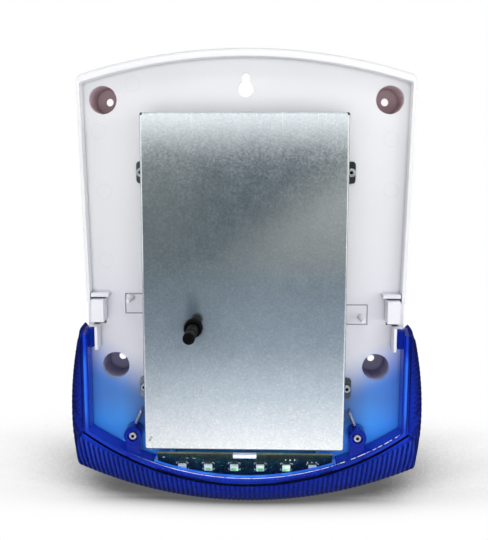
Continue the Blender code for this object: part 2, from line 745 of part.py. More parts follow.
def build_base():
    """White tray with its wells, keyhole, clips, standoffs and screw bosses."""
    base = tray_body()
    root = FLOOR_Y + ROOT

    bm = bmesh.new()
    span = 2 * LENS_BACK_HALF
    add_box(bm, (-span, RIM_Y - RIM_HEIGHT, LENS_BACK_BOTTOM * 2), (span, FLOOR_Y - LIP, TRAY_CLIP_Z))
    combine(base, cutter("rim_trim", bm), "DIFFERENCE")

    bm = bmesh.new()
    for x, z in fixings():
        add_rod(bm, x, z, 0.0, root, WELL_FOOT + 2 * WELL_WALL, WELL_MOUTH + 2 * WELL_WALL)
    for x, z in board_screws():
        add_rod(bm, x, z, root, FLOOR_Y - BOARD_RISE, STANDOFF, segments=SMALL_SEGMENTS)
    for x, z in floor_screws():
        add_rod(bm, x, z, FLOOR_BACK_Y + SCREW_GRIP, root, SCREW_BOSS, segments=SMALL_SEGMENTS)
    for x, z in posts():
        add_rod(bm, x, z, root, FLOOR_Y - POST_RISE, POST_FOOT, POST_TIP, SMALL_SEGMENTS)
    for side in (-1, 1):
        wedge(bm, side * STROBE_REST_X)
        brace(bm, side)
    combine(base, cutter("floor_posts", bm), "UNION")

    for name, keep in (("left_clip", -1), ("right_clip", 1)):
        bm = bmesh.new()
        clip_group(bm, keep)
        helper = cutter(name, bm)
        combine(base, helper, "UNION")
        base.modifiers[helper.name].use_self = True

    bm = bmesh.new()
    for x, z in fixings():
        add_rod(bm, x, z, -WELL_FLOOR, FLOOR_Y - RIM_HEIGHT, WELL_FOOT, WELL_MOUTH)
    for x, z in floor_screws():
        pilot = SCREW_SHANK + 2 * HOLE_GAP
        add_rod(bm, x, z, FLOOR_BACK_Y + SCREW_GRIP - FLOOR_THICK, RIM_Y, pilot, segments=SMALL_SEGMENTS)
    for x, z in board_screws():
        pilot = SCREW_SHANK + 2 * HOLE_GAP
        add_rod(bm, x, z, FLOOR_Y + ROOT, RIM_Y, pilot, segments=SMALL_SEGMENTS)
    add_rod(bm, 0.0, KEYHOLE_Z, 0.0, RIM_Y, KEYHOLE_HEAD)
    add_prism_y(bm, box_outline((ENTRY_X, ENTRY_Z), ENTRY_WIDTH, ENTRY_HEIGHT, ENTRY_CORNER), 0.0, RIM_Y)
    combine(base, cutter("floor_holes", bm), "DIFFERENCE")

    bm = bmesh.new()
    for x, z in fixings():
        add_rod(bm, x, z, WELL_FLOOR, -2 * WELL_FLOOR, FIXING_HOLE, segments=SMALL_SEGMENTS)
    slot_centre = (0.0, KEYHOLE_Z + KEYHOLE_RISE / 2)
    slot = box_outline(slot_centre, KEYHOLE_SLOT, KEYHOLE_RISE + KEYHOLE_SLOT, KEYHOLE_SLOT / 2 - MERGE)
    add_prism_y(bm, slot, 0.0, RIM_Y)
    for centre in knock_outs():
        knock_out(bm, centre)
    combine(base, cutter("fixing_holes", bm), "DIFFERENCE")

    bm = bmesh.new()
    for centre in knock_outs():
        knock_sides(bm, centre)
    combine(base, cutter("knock_sides", bm), "DIFFERENCE")


def lens_groove_z(x):
    """Height of the groove line under x."""
    return LENS_GROOVE_BOTTOM + arc_drop(LENS_GROOVE_RADIUS, x)


def lens_inner_z(x, outward=0.0):
    """Height of the lens's inner face under x, or of a line further out than it."""
    radius = LENS_INNER_RADIUS + outward
    return LENS_INNER_BOTTOM - outward + arc_drop(radius, x)


def lens_back_z(x):
    """Height of the lens's lower back edge at x."""
    return LENS_BACK_BOTTOM + arc_drop(LENS_BACK_RADIUS, x)


def lens_back_x(z):
    """Half width of the lens's back edge at height z."""
    radius = LENS_BACK_RADIUS_UP if z > LENS_WIDEST_Z else LENS_BACK_RADIUS_DOWN
    tip = max(0.0, (z - LENS_TOP + LENS_TIP_LENGTH) / LENS_TIP_LENGTH)
    return LENS_BACK_HALF - (z - LENS_WIDEST_Z) ** 2 / (2 * radius) - LENS_TIP * tip * tip


def lens_depth(share):
    """Depth along Y at a share of the way from the groove to the back edge."""
    return -(LENS_SKIRT_DEPTH + (LENS_BACK_DEPTH - LENS_SKIRT_DEPTH) * share)


def tip_drop(y, z):
    """How far the arm's top is rounded down towards the wall."""
    deep = max(0.0, (LENS_SKIRT_DEPTH + y) / (LENS_SKIRT_DEPTH - LENS_BACK_DEPTH))
    near = max(0.0, 1 - (LENS_TOP - z) / LENS_TIP_FADE)
    return LENS_TIP_DROP * near * deep * deep


def share_of(part_of_flare):
    """Share of the depth at which the skirt has flared out this far: a parabola, flat at the back."""
    return 1 - math.sqrt(max(0.0, 1 - part_of_flare))


def arm_share(x, z):
    """Depth share of the arm's flank at (x, z)."""
    return share_of((x - LENS_HALF) / (lens_back_x(z) - LENS_HALF))


def bottom_share(x, z):
    """Depth share of the lower band at (x, z)."""
    top = lens_groove_z(x)
    return share_of((top - z) / (top - lens_back_z(x)))


def lens_corner_end():
    """Point of the back edge where the flank's ribs give way to the lower band's."""
    z = lens_groove_z(LENS_HALF) - LENS_CORNER_DROP
    return lens_back_x(z), z


def arm_column(k, count, rows, rib):
    """Points of one line across the arm's flank, from the groove to the back edge."""
    share = k / count
    groove_z = LENS_TOP + (lens_groove_z(LENS_HALF) - LENS_TOP) * share
    drop = -LENS_CORNER_DROP * share**3
    back_z = groove_z + drop
    back_x = lens_back_x(back_z)
    depth = LENS_SKIRT_DEPTH - LENS_BACK_DEPTH
    points = []
    for row in range(rows + 1):
        x = LENS_HALF + (back_x - LENS_HALF) * row / rows
        z = groove_z + drop * row / rows
        at = arm_share(x, z) if row < rows else 1.0
        out = Vector((depth, -2 * (back_x - LENS_HALF) * (1 - at), 0.0)).normalized()
        swell = rib if row else 0.0
        y = lens_depth(at)
        points.append(Vector((x, y, z - tip_drop(y, groove_z))) + out * swell)
    return points


def band_column(start, end_z, rows, rib):
    """Points of one upright line down the lower band, from its top point to the back edge."""
    depth = LENS_SKIRT_DEPTH - LENS_BACK_DEPTH
    fall = lens_groove_z(start.x) - lens_back_z(start.x)
    points = [start]
    for row in range(1, rows + 1):
        z = start.z + (end_z - start.z) * (1 - (1 - row / rows) ** 2)
        at = bottom_share(start.x, z)
        if start.x > LENS_HALF:
            at = max(at, arm_share(start.x, z))
        if row == rows or start.z - end_z < MERGE:
            at = 1.0
        out = Vector((0.0, -2 * fall * (1 - at), -depth)).normalized()
        points.append(Vector((start.x, lens_depth(at), z)) + out * rib)
    return points


def rim_column(inner, groove, section):
    """Points across the lens's front rim; section holds (distance from the inner face, y)."""
    points = []
    for distance, y in section:
        share = distance / LENS_RIM_WIDTH
        x = inner[0] + (groove[0] - inner[0]) * share
        z = inner[1] + (groove[1] - inner[1]) * share
        points.append(Vector((x, y, z - tip_drop(y, z))))
    return points


def add_grid(bm, columns):
    """Quads between neighbouring columns of points."""
    verts = [[bm.verts.new(point) for point in column] for column in columns]
    for near, far in zip(verts, verts[1:]):
        for i in range(len(near) - 1):
            bm.faces.new((near[i], near[i + 1], far[i + 1], far[i]))
    return verts


def add_rim(bm, rims, skirts):
    """Front rim and back face behind a ribbed skirt, in strips as wide as a rib."""
    for k in range(0, len(rims) - 1, 2):
        near = rims[k]
        far = rims[k + 2]
        faces = [(near[i], near[i + 1], far[i + 1], far[i]) for i in range(len(near) - 2)]
        crest = rims[k + 1][-1]
        faces += [(near[-2], near[-1], crest), (near[-2], crest, far[-2]), (far[-2], crest, far[-1])]
        crest = skirts[k + 1][-1]
        faces += [(near[0], crest, skirts[k][-1]), (near[0], far[0], crest)]
        faces.append((far[0], skirts[k + 2][-1], crest))
        for points in faces:
            bm.faces.new([bm.verts.new(point) for point in points])


def lens_solid(section, pitch, rib_height, rows):
    """Solid U of the lens without its hollow: front rim, ribbed flanks and lower band."""
    arm_count = 2 * round((LENS_TOP - lens_groove_z(LENS_HALF)) / pitch)
    band_count = 2 * round(LENS_HALF / pitch)
    end_x, end_z = lens_corner_end()
    corner_count = 2 * max(1, round((end_x - LENS_HALF) / pitch))
    corner_z = lens_groove_z(LENS_HALF)
    inner_corner_z = lens_inner_z(LENS_INNER_HALF)
    bm = bmesh.new()

    arm_columns = []
    rim_columns = []
    for k in range(arm_count + 1):
        rib = rib_height * (k % 2)
        arm_columns.append(arm_column(k, arm_count, corner_count, rib))
        inner_z = LENS_TOP + (inner_corner_z - LENS_TOP) * k / arm_count
        groove_z = LENS_TOP + (corner_z - LENS_TOP) * k / arm_count
        rim_columns.append(rim_column((LENS_INNER_HALF, inner_z), (LENS_HALF, groove_z), section))
    arm_columns[-1] = arm_column(arm_count, arm_count, corner_count, 0.0)
    add_grid(bm, arm_columns)
    add_rim(bm, rim_columns, arm_columns)
    end = [bm.verts.new(point) for point in rim_columns[0] + arm_columns[0][1:]]
    bm.faces.new(end)

    band_columns = []
    outer_rim = rim_columns[-1][0]
    for j in range(corner_count, -1, -1):
        start = arm_columns[-1][j]
        flank_end = LENS_WIDEST_Z - math.sqrt(2 * LENS_BACK_RADIUS_DOWN * max(0.0, LENS_BACK_HALF - start.x))
        stop_z = min(start.z, max(flank_end, lens_back_z(start.x)))
        band_columns.append(band_column(start, stop_z, rows, rib_height * (j % 2)))
    add_grid(bm, band_columns)
    add_grid(bm, [[outer_rim, column[-1]] for column in band_columns])

    band_columns = []
    rim_columns = []
    for k in range(band_count, -1, -1):
        x = LENS_HALF * k / band_count
        inner_x = LENS_INNER_HALF * k / band_count
        inner = (inner_x, lens_inner_z(inner_x))
        rim_columns.append(rim_column(inner, (x, lens_groove_z(x)), section))
        start = Vector((x, lens_depth(0.0), lens_groove_z(x)))
        band_columns.append(band_column(start, lens_back_z(x), rows, rib_height * (k % 2)))
    add_grid(bm, band_columns)
    add_rim(bm, rim_columns, band_columns)

    bmesh.ops.mirror(bm, geom=bm.verts[:] + bm.edges[:] + bm.faces[:], axis="X", merge_dist=MERGE)
    bmesh.ops.remove_doubles(bm, verts=bm.verts[:], dist=MERGE)
    bmesh.ops.dissolve_degenerate(bm, dist=MERGE, edges=bm.edges[:])
    bmesh.ops.recalc_face_normals(bm, faces=bm.faces[:])
    return bm


def lens_hollow():
    """Space inside the lens: the plain lens drawn in by its wall and opened at the back."""
    section = [
        (0.0, lens_depth(1.0)),
        (0.0, -LENS_RIM_DEPTH),
        (LENS_RIM_WIDTH, -LENS_SKIRT_DEPTH),
    ]
    bm = lens_solid(section, 4 * LENS_RIB_PITCH, 0.0, LENS_ROWS)
    bm.normal_update()
    rear = [vert for vert in bm.verts if abs(vert.co.y - lens_depth(1.0)) < MERGE]
    moved = [(vert, vert.co - vert.normal * LENS_WALL) for vert in bm.verts]
    for vert, point in moved:
        vert.co = point
    for vert in rear:
        vert.co.y = LENS_BACK_DEPTH
    return cutter("lens_hollow", bm)


def build_lens():
    """Blue lens: ribbed hollow U with tongues, screw bosses and a window for the strobe board."""
    groove_floor = -(LENS_SKIRT_DEPTH - LENS_GROOVE_DEPTH)
    inside = LENS_RIM_WIDTH - LENS_GROOVE_WIDTH
    section = [
        (0.0, lens_depth(1.0)),
        (0.0, -(LENS_RIM_DEPTH - LENS_RIDGE)),
        (LENS_RIDGE, -LENS_RIM_DEPTH),
        (inside, -(LENS_SKIRT_DEPTH + LENS_RIDGE)),
        (inside, groove_floor),
        (LENS_RIM_WIDTH, groove_floor),
        (LENS_RIM_WIDTH, -LENS_SKIRT_DEPTH),
    ]
    lens = part("lens", lens_solid(section, LENS_RIB_PITCH, LENS_RIB_HEIGHT, LENS_ROWS), BLUE_LENS)
    combine(lens, lens_hollow(), "DIFFERENCE")

    bm = bmesh.new()
    rings = [
        [(x, y, z) for x, z in tray_outline(-GAP, -GAP, -GAP)] for y in (FLOOR_DEPTH, LENS_SEAT_Y)
    ]
    add_loft(bm, rings)
    combine(lens, cutter("tray_space", bm), "DIFFERENCE")

    bm = bmesh.new()
    for side in (-1, 1):
        xs = sorted((side * (LENS_INNER_HALF - TONGUE_WALL), side * (LENS_INNER_HALF + LENS_WALL / 2)))
        add_box(
            bm,
            (xs[0], FLOOR_Y - TONGUE_DEPTH, LENS_TOP - TONGUE_LENGTH),
            (xs[1], LENS_SEAT_Y, LENS_TOP - GAP),
        )
        add_rod(bm, side * BOSS_X, BOSS_Z, LENS_SEAT_Y, -BOSS_DEPTH, BOSS_DIAMETER)
    combine(lens, cutter("tongues_and_bosses", bm), "UNION")

    bm = bmesh.new()
    web_depth = LENS_RIM_DEPTH - WEB_DROP
    for side in (-1, 1):
        low_z = lens_inner_z(BOSS_X - WEB_WIDTH / 2)
        add_box(
            bm,
            (side * BOSS_X - WEB_WIDTH / 2, -web_depth, low_z - LENS_WALL / 4),
            (side * BOSS_X + WEB_WIDTH / 2, LENS_SEAT_Y - GAP, BOSS_Z),
        )
    combine(lens, cutter("boss_webs", bm), "UNION")

    bm = bmesh.new()
    for side in (-1, 1):
        hole = SCREW_SHANK + 2 * HOLE_GAP
        add_rod(bm, side * BOSS_X, BOSS_Z, FLOOR_BACK_Y, -BOSS_DEPTH, hole, segments=SMALL_SEGMENTS)
    combine(lens, cutter("boss_holes", bm), "DIFFERENCE")

    bm = bmesh.new()
    for side in (-1, 1):
        seat = -(BOSS_DEPTH - BOSS_RECESS)
        add_rod(bm, side * BOSS_X, BOSS_Z, seat, -2 * BOSS_DEPTH, SCREW_HEAD + 4 * HOLE_GAP)
    combine(lens, cutter("boss_recesses", bm), "DIFFERENCE")

    bm = bmesh.new()
    lip_y = -(LENS_RIM_DEPTH - WINDOW_LIP)
    rings = []
    for step in range(-TRAY_BOTTOM_STEPS, TRAY_BOTTOM_STEPS + 1):
        x = WINDOW_HALF * step / TRAY_BOTTOM_STEPS
        near = lens_inner_z(x, -LENS_WALL)
        far = lens_inner_z(x, LENS_WALL + WINDOW_PAST_WALL)
        rings.append([(x, lip_y, near), (x, lip_y, far), (x, FLOOR_BACK_Y, far), (x, FLOOR_BACK_Y, near)])
    add_loft(bm, rings)
    combine(lens, cutter("strobe_window", bm), "DIFFERENCE")


def build_screw(name, x, z, seat_y, grip):
    """Pan-head screw whose head sits on seat_y, with a round socket in the head."""
    head = SCREW_HEAD / 2
    socket = SCREW_SOCKET / 2
    top = SCREW_HEAD_HEIGHT
    profile = [
        (0.0, top - SCREW_SOCKET_DEPTH),
        (socket, top - SCREW_SOCKET_DEPTH),
        (socket, top),
        (SCREW_HEAD_FLAT / 2, top),
        (head, SCREW_HEAD_SIDE),
        (head, 0.0),
        (SCREW_SHANK / 2, 0.0),
        (SCREW_SHANK / 2, -grip),
        (0.0, -grip),
    ]
    turned(name, profile, SCREW_STEEL, (x, seat_y - GAP, z), SMALL_SEGMENTS)


def build_steel_cover():
    """Folded sheet box with fixing tabs, plunger hole and sound slots in its lower wall."""
    bm = bmesh.new()
    add_box(bm, (-COVER_HALF, -COVER_DEPTH, COVER_BOTTOM), (COVER_HALF, SEAT_Y, COVER_TOP))
    back = [face for face in bm.faces if face.normal.y > 0.5]
    bmesh.ops.delete(bm, geom=back, context="FACES")
    bends = [edge for edge in bm.edges if len(edge.link_faces) == 2]
    bmesh.ops.bevel(bm, geom=bends, offset=COVER_BEND, segments=2, profile=0.5, affect="EDGES")
    cover = part("steel_cover", bm, ZINC_STEEL)
    sheet = cover.modifiers.new("sheet", "SOLIDIFY")
    sheet.thickness = COVER_SHEET
    sheet.offset = -1.0
    sheet.use_even_offset = True

    bm = bmesh.new()
    for x, z in tab_screws().values():
        side = math.copysign(1.0, x)
        inner = side * (COVER_HALF - COVER_SHEET / 2)
        outer = side * (COVER_HALF + TAB_WIDTH)
        centre = ((inner + outer) / 2, z)
        outline = box_outline(centre, abs(outer - inner), TAB_HEIGHT, TAB_CORNER)
        add_prism_y(bm, outline, SEAT_Y, SEAT_Y - COVER_SHEET)
    combine(cover, cutter("cover_tabs", bm), "UNION")

    bm = bmesh.new()
    for x, z in tab_screws().values():
        hole = SCREW_SHANK + 2 * HOLE_GAP
        add_rod(bm, x, z, 0.0, RIM_Y, hole, segments=SMALL_SEGMENTS)
    add_rod(bm, TAMPER_X, TAMPER_Z, RIM_Y, -2 * COVER_DEPTH, GROMMET_NECK + 2 * HOLE_GAP)
    for side in (-1, 1):
        x = side * (COVER_HALF - RELIEF_INSET)
        z = COVER_TOP - RELIEF_INSET
        add_rod(bm, x, z, RIM_Y, -2 * COVER_DEPTH, RELIEF_HOLE, segments=SMALL_SEGMENTS)
    middle = (SEAT_Y - COVER_DEPTH) / 2
    for step in range(SOUND_SLOTS):
        x = (step - (SOUND_SLOTS - 1) / 2) * SOUND_SLOT_PITCH
        add_box(
            bm,
            (x - SOUND_SLOT_WIDTH / 2, middle - SOUND_SLOT_LENGTH / 2, COVER_BOTTOM - COVER_SHEET),
            (x + SOUND_SLOT_WIDTH / 2, middle + SOUND_SLOT_LENGTH / 2, COVER_BOTTOM + 2 * COVER_SHEET),
        )
    combine(cover, cutter("cover_holes", bm), "DIFFERENCE")
    for corner, (x, z) in tab_screws().items():
        build_screw(f"cover_screw_{corner}", x, z, SEAT_Y - COVER_SHEET, SCREW_GRIP)


def build_tamper():
    """Grommet, sliding plunger, its return spring and the switch below it."""
    axis = (TAMPER_X, 0.0, TAMPER_Z)
    rod = PLUNGER_DIAMETER / 2
    bore = rod + SLIDE_GAP
    flange = GROMMET_FLANGE / 2
    neck = GROMMET_NECK / 2
    front = COVER_DEPTH + GAP
    back = -COVER_INNER_Y - GAP
    profile = [
        (flange - GAP, front + GROMMET_FRONT),
        (flange, front + GROMMET_FRONT / 2),
        (flange, front),
        (neck, front),
        (neck, back),
        (flange, back),
        (flange, back - GROMMET_BACK),
        (bore, back - GROMMET_BACK),
        (bore, front + GROMMET_FRONT),
    ]
    turned("tamper_grommet", profile, BLACK_RUBBER, axis, closed=True)

    collar = PLUNGER_COLLAR / 2
    stem = PLUNGER_STEM / 2
    profile = [
        (0.0, PLUNGER_TIP_DEPTH),
        (rod - PLUNGER_CROWN, PLUNGER_TIP_DEPTH),
        (rod - PLUNGER_CROWN_STEP, PLUNGER_TIP_DEPTH - PLUNGER_CROWN_STEP),
        (rod, PLUNGER_TIP_DEPTH - PLUNGER_CROWN),
        (rod, -COLLAR_FRONT_Y),
        (collar, -COLLAR_FRONT_Y),
        (collar, -COLLAR_BACK_Y),
        (stem, -COLLAR_BACK_Y),
        (stem, -STEM_END_Y),
        (0.0, -STEM_END_Y),
    ]
    turned("tamper_plunger", profile, BLACK_RUBBER, axis)

    bm = bmesh.new()
    half = SWITCH_SIDE / 2
    add_box(
        bm,
        (TAMPER_X - half, SWITCH_FRONT_Y, TAMPER_Z - half),
        (TAMPER_X + half, SWITCH_BACK_Y, TAMPER_Z + half),
    )
    switch = part("tamper_switch", bm, SWITCH_PLASTIC)
    bm = bmesh.new()
    hole = PLUNGER_STEM + 2 * SLIDE_GAP
    floor = SWITCH_BACK_Y - SWITCH_FLOOR
    add_rod(bm, TAMPER_X, TAMPER_Z, floor, -COVER_DEPTH, hole, segments=SMALL_SEGMENTS)
    combine(switch, cutter("switch_bore", bm), "DIFFERENCE")
    build_spring()


def build_spring():
    """Coil between the switch and the plunger's collar, and its least gap to itself."""
    start = SWITCH_FRONT_Y - GAP - SPRING_WIRE / 2
    end = COLLAR_BACK_Y + GAP + SPRING_WIRE / 2
    count = SPRING_TURNS * SPRING_POINTS
    curve = bpy.data.curves.new("tamper_spring", "CURVE")
    curve.dimensions = "3D"
    curve.bevel_depth = SPRING_WIRE / 2
    curve.bevel_resolution = 1
    curve.use_fill_caps = True
    curve.materials.append(SPRING_STEEL)
    spline = curve.splines.new("POLY")
    spline.points.add(count)
    path = []
    for i in range(count + 1):
        turn = 2 * math.pi * i / SPRING_POINTS
        x = TAMPER_X + SPRING_RADIUS * math.cos(turn)
        z = TAMPER_Z + SPRING_RADIUS * math.sin(turn)
        path.append(Vector((x, start + (end - start) * i / count, z)))
        spline.points[i].co = (*path[-1], 1.0)
    PARTS.objects.link(bpy.data.objects.new("tamper_spring", curve))
    far = SPRING_POINTS // 2
    gap = min((a - b).length for i, a in enumerate(path) for b in path[i + far :]) - SPRING_WIRE
    print(f"tamper_spring: least gap to itself {gap * 1000:.2f} mm")


def build_main_board():
    """Control board on its standoffs, with its screws and terminal block."""
    low = (-BOARD_WIDTH / 2, BOARD_FRONT_Y, BOARD_Z - BOARD_HEIGHT / 2)
    high = (BOARD_WIDTH / 2, BOARD_BACK_Y, BOARD_Z + BOARD_HEIGHT / 2)
    bm = bmesh.new()
    add_box(bm, low, high)
    board = part("main_board", bm, BOARD_GREEN)
    bm = bmesh.new()
    for x, z in board_screws():
        hole = SCREW_SHANK + 2 * HOLE_GAP
        add_rod(bm, x, z, 0.0, BOARD_FRONT_Y - BOARD_RISE, hole, segments=SMALL_SEGMENTS)
    combine(board, cutter("board_holes", bm), "DIFFERENCE")
    grip = BOARD_THICK + BOARD_RISE - STANDOFF_FLOOR
    for number, (x, z) in enumerate(board_screws(), 1):
        build_screw(f"board_screw_{number}", x, z, BOARD_FRONT_Y, grip)

    back = BOARD_FRONT_Y - GAP
    foot = low[2] + TERMINAL_EDGE
    bm = bmesh.new()
    add_box(
        bm,
        (TERMINAL_X - TERMINAL_WIDTH / 2, back - TERMINAL_RISE, foot),
        (TERMINAL_X + TERMINAL_WIDTH / 2, back, foot + TERMINAL_HEIGHT),
    )
    block = part("terminal_block", bm, TERMINAL_GREEN)
    bm = bmesh.new()
    pitch = TERMINAL_WIDTH / TERMINAL_WAYS
    floor = back - TERMINAL_RISE + TERMINAL_HOLE_DEPTH
    for way in range(TERMINAL_WAYS):
        x = TERMINAL_X + (way - (TERMINAL_WAYS - 1) / 2) * pitch
        z = foot + TERMINAL_HEIGHT / 2
        add_rod(bm, x, z, floor, back - 2 * TERMINAL_RISE, TERMINAL_HOLE, segments=SMALL_SEGMENTS)
    combine(block, cutter("terminal_holes", bm), "DIFFERENCE")


def build_battery():
    """Row of cells in one wrap, held by a bent strap with two screws."""
    pitch = CELL_DIAMETER - CELL_OVERLAP
    radius = CELL_DIAMETER / 2
    axis_y = SEAT_Y - radius
    meet = math.acos(pitch / 2 / radius)
    front = []
    for cell in range(CELL_COUNT):
        x = (cell - (CELL_COUNT - 1) / 2) * pitch
        start = math.pi if cell == 0 else math.pi - meet
        end = 0.0 if cell == CELL_COUNT - 1 else meet
        for step in range(CELL_STEPS + (cell == CELL_COUNT - 1)):
            turn = start + (end - start) * step / CELL_STEPS
            front.append((x + radius * math.cos(turn), radius * math.sin(turn)))
    outline = front + [(-x, -rise) for x, rise in front[1:-1]]
    rings = []
    for z in (BATTERY_Z - CELL_LENGTH / 2, BATTERY_Z + CELL_LENGTH / 2):
        rings.append([(x, axis_y - rise, z) for x, rise in outline])
    bm = bmesh.new()
    add_loft(bm, rings)
    part("battery_pack", bm, BATTERY_WRAP)

    outer = strap_side()
    inner = outer - STRAP_THICK
    foot = strap_end()
    under = SEAT_Y - CELL_DIAMETER - GAP
    over = under - STRAP_THICK
    foot_top = SEAT_Y - STRAP_THICK
    half = [(inner, under), (inner, SEAT_Y), (foot, SEAT_Y)]
    half += [(foot, foot_top), (outer, foot_top), (outer, over)]
    section = half + [(-x, y) for x, y in half[::-1]]
    rings = []
    for z in (BATTERY_Z - STRAP_WIDTH / 2, BATTERY_Z + STRAP_WIDTH / 2):
        rings.append([(x, y, z) for x, y in section])
    bm = bmesh.new()
    add_loft(bm, rings)
    strap = part("battery_strap", bm, ZINC_STEEL)
    bm = bmesh.new()
    for side in (-1, 1):
        hole = SCREW_SHANK + 2 * HOLE_GAP
        add_rod(bm, side * strap_screw_x(), BATTERY_Z, 0.0, RIM_Y, hole, segments=SMALL_SEGMENTS)
    combine(strap, cutter("strap_holes", bm), "DIFFERENCE")
    for name, side in (("left", -1), ("right", 1)):
        build_screw(f"strap_screw_{name}", side * strap_screw_x(), BATTERY_Z, foot_top, SCREW_GRIP)


def build_sounder():
    """Flanged cup with a piezo disc on its step and a cap with a round mouth."""
    place = (0.0, SEAT_Y, SIREN_Z)
    body = SIREN_BODY / 2
    bore = body - SIREN_WALL
    step = bore - SIREN_STEP
    flange = SIREN_FLANGE / 2
    profile = [
        (0.0, SIREN_FLANGE_THICK),
        (step, SIREN_FLANGE_THICK),
        (step, SIREN_STEP_RISE),
        (bore, SIREN_STEP_RISE),
        (bore, SIREN_HEIGHT),
        (body, SIREN_HEIGHT),
        (body, SIREN_FLANGE_THICK),
        (flange, SIREN_FLANGE_THICK),
        (flange, 0.0),
        (0.0, 0.0),
    ]
    housing = turned("siren_housing", profile, SIREN_BLACK, place, SIREN_SEGMENTS)
    bm = bmesh.new()
    for side in (-1, 1):
        hole = SCREW_SHANK + 2 * HOLE_GAP
        add_rod(bm, side * SIREN_SCREW_RADIUS, SIREN_Z, 0.0, RIM_Y, hole, segments=SMALL_SEGMENTS)
    combine(housing, cutter("siren_holes", bm), "DIFFERENCE")

    disc = bore - GAP
    low = SIREN_STEP_RISE + GAP
    profile = [(0.0, low + SIREN_DISC_THICK), (disc, low + SIREN_DISC_THICK), (disc, low), (0.0, low)]
    turned("siren_diaphragm", profile, DISC_BRASS, place, SIREN_SEGMENTS)

    top = SIREN_HEIGHT + GAP + SIREN_CAP_THICK
    mouth = SIREN_CAP_HOLE / 2
    spigot = bore - GAP
    foot = low + SIREN_DISC_THICK + GAP
    profile = [
        (mouth, top),
        (body, top),
        (body, SIREN_HEIGHT + GAP),
        (spigot, SIREN_HEIGHT + GAP),
        (spigot, foot),
        (spigot - SIREN_WALL, foot),
        (spigot - SIREN_WALL, SIREN_HEIGHT + GAP),
        (mouth, SIREN_HEIGHT + GAP),
    ]
    turned("siren_cap", profile, SIREN_BLACK, place, SIREN_SEGMENTS, closed=True)
    for name, side in (("left", -1), ("right", 1)):
        seat = SEAT_Y - SIREN_FLANGE_THICK
        build_screw(f"siren_screw_{name}", side * SIREN_SCREW_RADIUS, SIREN_Z, seat, SCREW_GRIP)


def build_strobe():
    """Tilted strobe board with its LEDs and plug socket."""
    frame = bpy.data.objects.new("strobe_frame", None)
    frame.location = (0.0, -STROBE_TOP_DEPTH, STROBE_TOP_Z)
    frame.rotation_euler = (STROBE_TILT, 0.0, 0.0)
    PARTS.objects.link(frame)

    def on_board(name, bm, material):
        made = part(name, bm, material)
        made.parent = frame
        return made

    bm = bmesh.new()
    add_box(bm, (-STROBE_WIDTH / 2, 0.0, -STROBE_HEIGHT), (STROBE_WIDTH / 2, STROBE_THICK, 0.0))
    on_board("led_board", bm, BOARD_GREEN)

    half = LED_SIDE / 2
    for number in range(1, LED_COUNT + 1):
        x = LED_SHIFT + (number - (LED_COUNT + 1) / 2) * LED_PITCH
        bm = bmesh.new()
        add_box(bm, (x - half, -GAP - LED_RISE, -LED_DROP - half), (x + half, -GAP, -LED_DROP + half))
        front = [face for face in bm.faces if face.calc_center_median().y < -LED_RISE]
        bmesh.ops.inset_region(bm, faces=front, thickness=(LED_SIDE - LED_WINDOW) / 2)
        bmesh.ops.translate(bm, vec=(0.0, LED_WINDOW_DEPTH, 0.0), verts=front[0].verts[:])
        on_board(f"led_{number}", bm, LED_WHITE)

    bm = bmesh.new()
    wide = SOCKET_WIDTH / 2
    tall = SOCKET_HEIGHT / 2
    low = (-wide, -GAP - SOCKET_RISE, SOCKET_LIFT - tall)
    high = (wide, -GAP, SOCKET_LIFT + tall)
    add_box(bm, low, high)
    socket = on_board("led_connector", bm, SOCKET_WHITE)
    bm = bmesh.new()
    wall = SOCKET_WALL
    add_box(
        bm,
        (low[0] + wall, low[1] + wall, low[2] + wall + SOCKET_DEPTH),
        (high[0] - wall, high[1] - wall, high[2] + SOCKET_DEPTH),
    )
    mouth = cutter("socket_mouth", bm)
    mouth.parent = frame
    combine(socket, mouth, "DIFFERENCE")


build_base()
build_lens()
for screw_name, screw_side in (("left", -1), ("right", 1)):
    lens_seat = -(BOSS_DEPTH - BOSS_RECESS)
    lens_grip = -lens_seat - FLOOR_DEPTH + SCREW_GRIP
    build_screw(f"lens_screw_{screw_name}", screw_side * BOSS_X, BOSS_Z, lens_seat, lens_grip)
build_steel_cover()
build_tamper()
build_main_board()
build_battery()
build_sounder()
build_strobe()
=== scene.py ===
"""Alarm siren with its front cover off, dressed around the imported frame.

Sizes are metres in the frame's axes: +X to the viewer's right, +Y into the wall, +Z up.
"""

import json
import logging
import math
from dataclasses import dataclass
from enum import Enum
from functools import partialmethod, reduce
from operator import or_

import bmesh
import bpy
from mathutils import Matrix, Vector


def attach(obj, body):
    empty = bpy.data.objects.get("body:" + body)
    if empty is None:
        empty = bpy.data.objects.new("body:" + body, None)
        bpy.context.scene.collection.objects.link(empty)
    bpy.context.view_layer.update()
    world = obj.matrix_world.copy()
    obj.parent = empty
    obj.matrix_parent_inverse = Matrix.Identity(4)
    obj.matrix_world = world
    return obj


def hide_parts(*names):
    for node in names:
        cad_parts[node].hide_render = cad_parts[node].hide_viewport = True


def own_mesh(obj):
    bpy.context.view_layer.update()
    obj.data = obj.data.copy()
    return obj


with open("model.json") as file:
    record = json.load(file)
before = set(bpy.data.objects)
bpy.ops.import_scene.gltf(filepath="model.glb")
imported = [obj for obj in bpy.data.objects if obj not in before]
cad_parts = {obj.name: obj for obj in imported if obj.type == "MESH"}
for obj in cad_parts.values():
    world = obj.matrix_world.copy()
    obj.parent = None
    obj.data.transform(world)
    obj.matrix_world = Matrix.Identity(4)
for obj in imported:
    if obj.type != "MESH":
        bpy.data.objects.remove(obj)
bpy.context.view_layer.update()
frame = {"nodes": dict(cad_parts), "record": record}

LOG = logging.getLogger("alarm_siren")

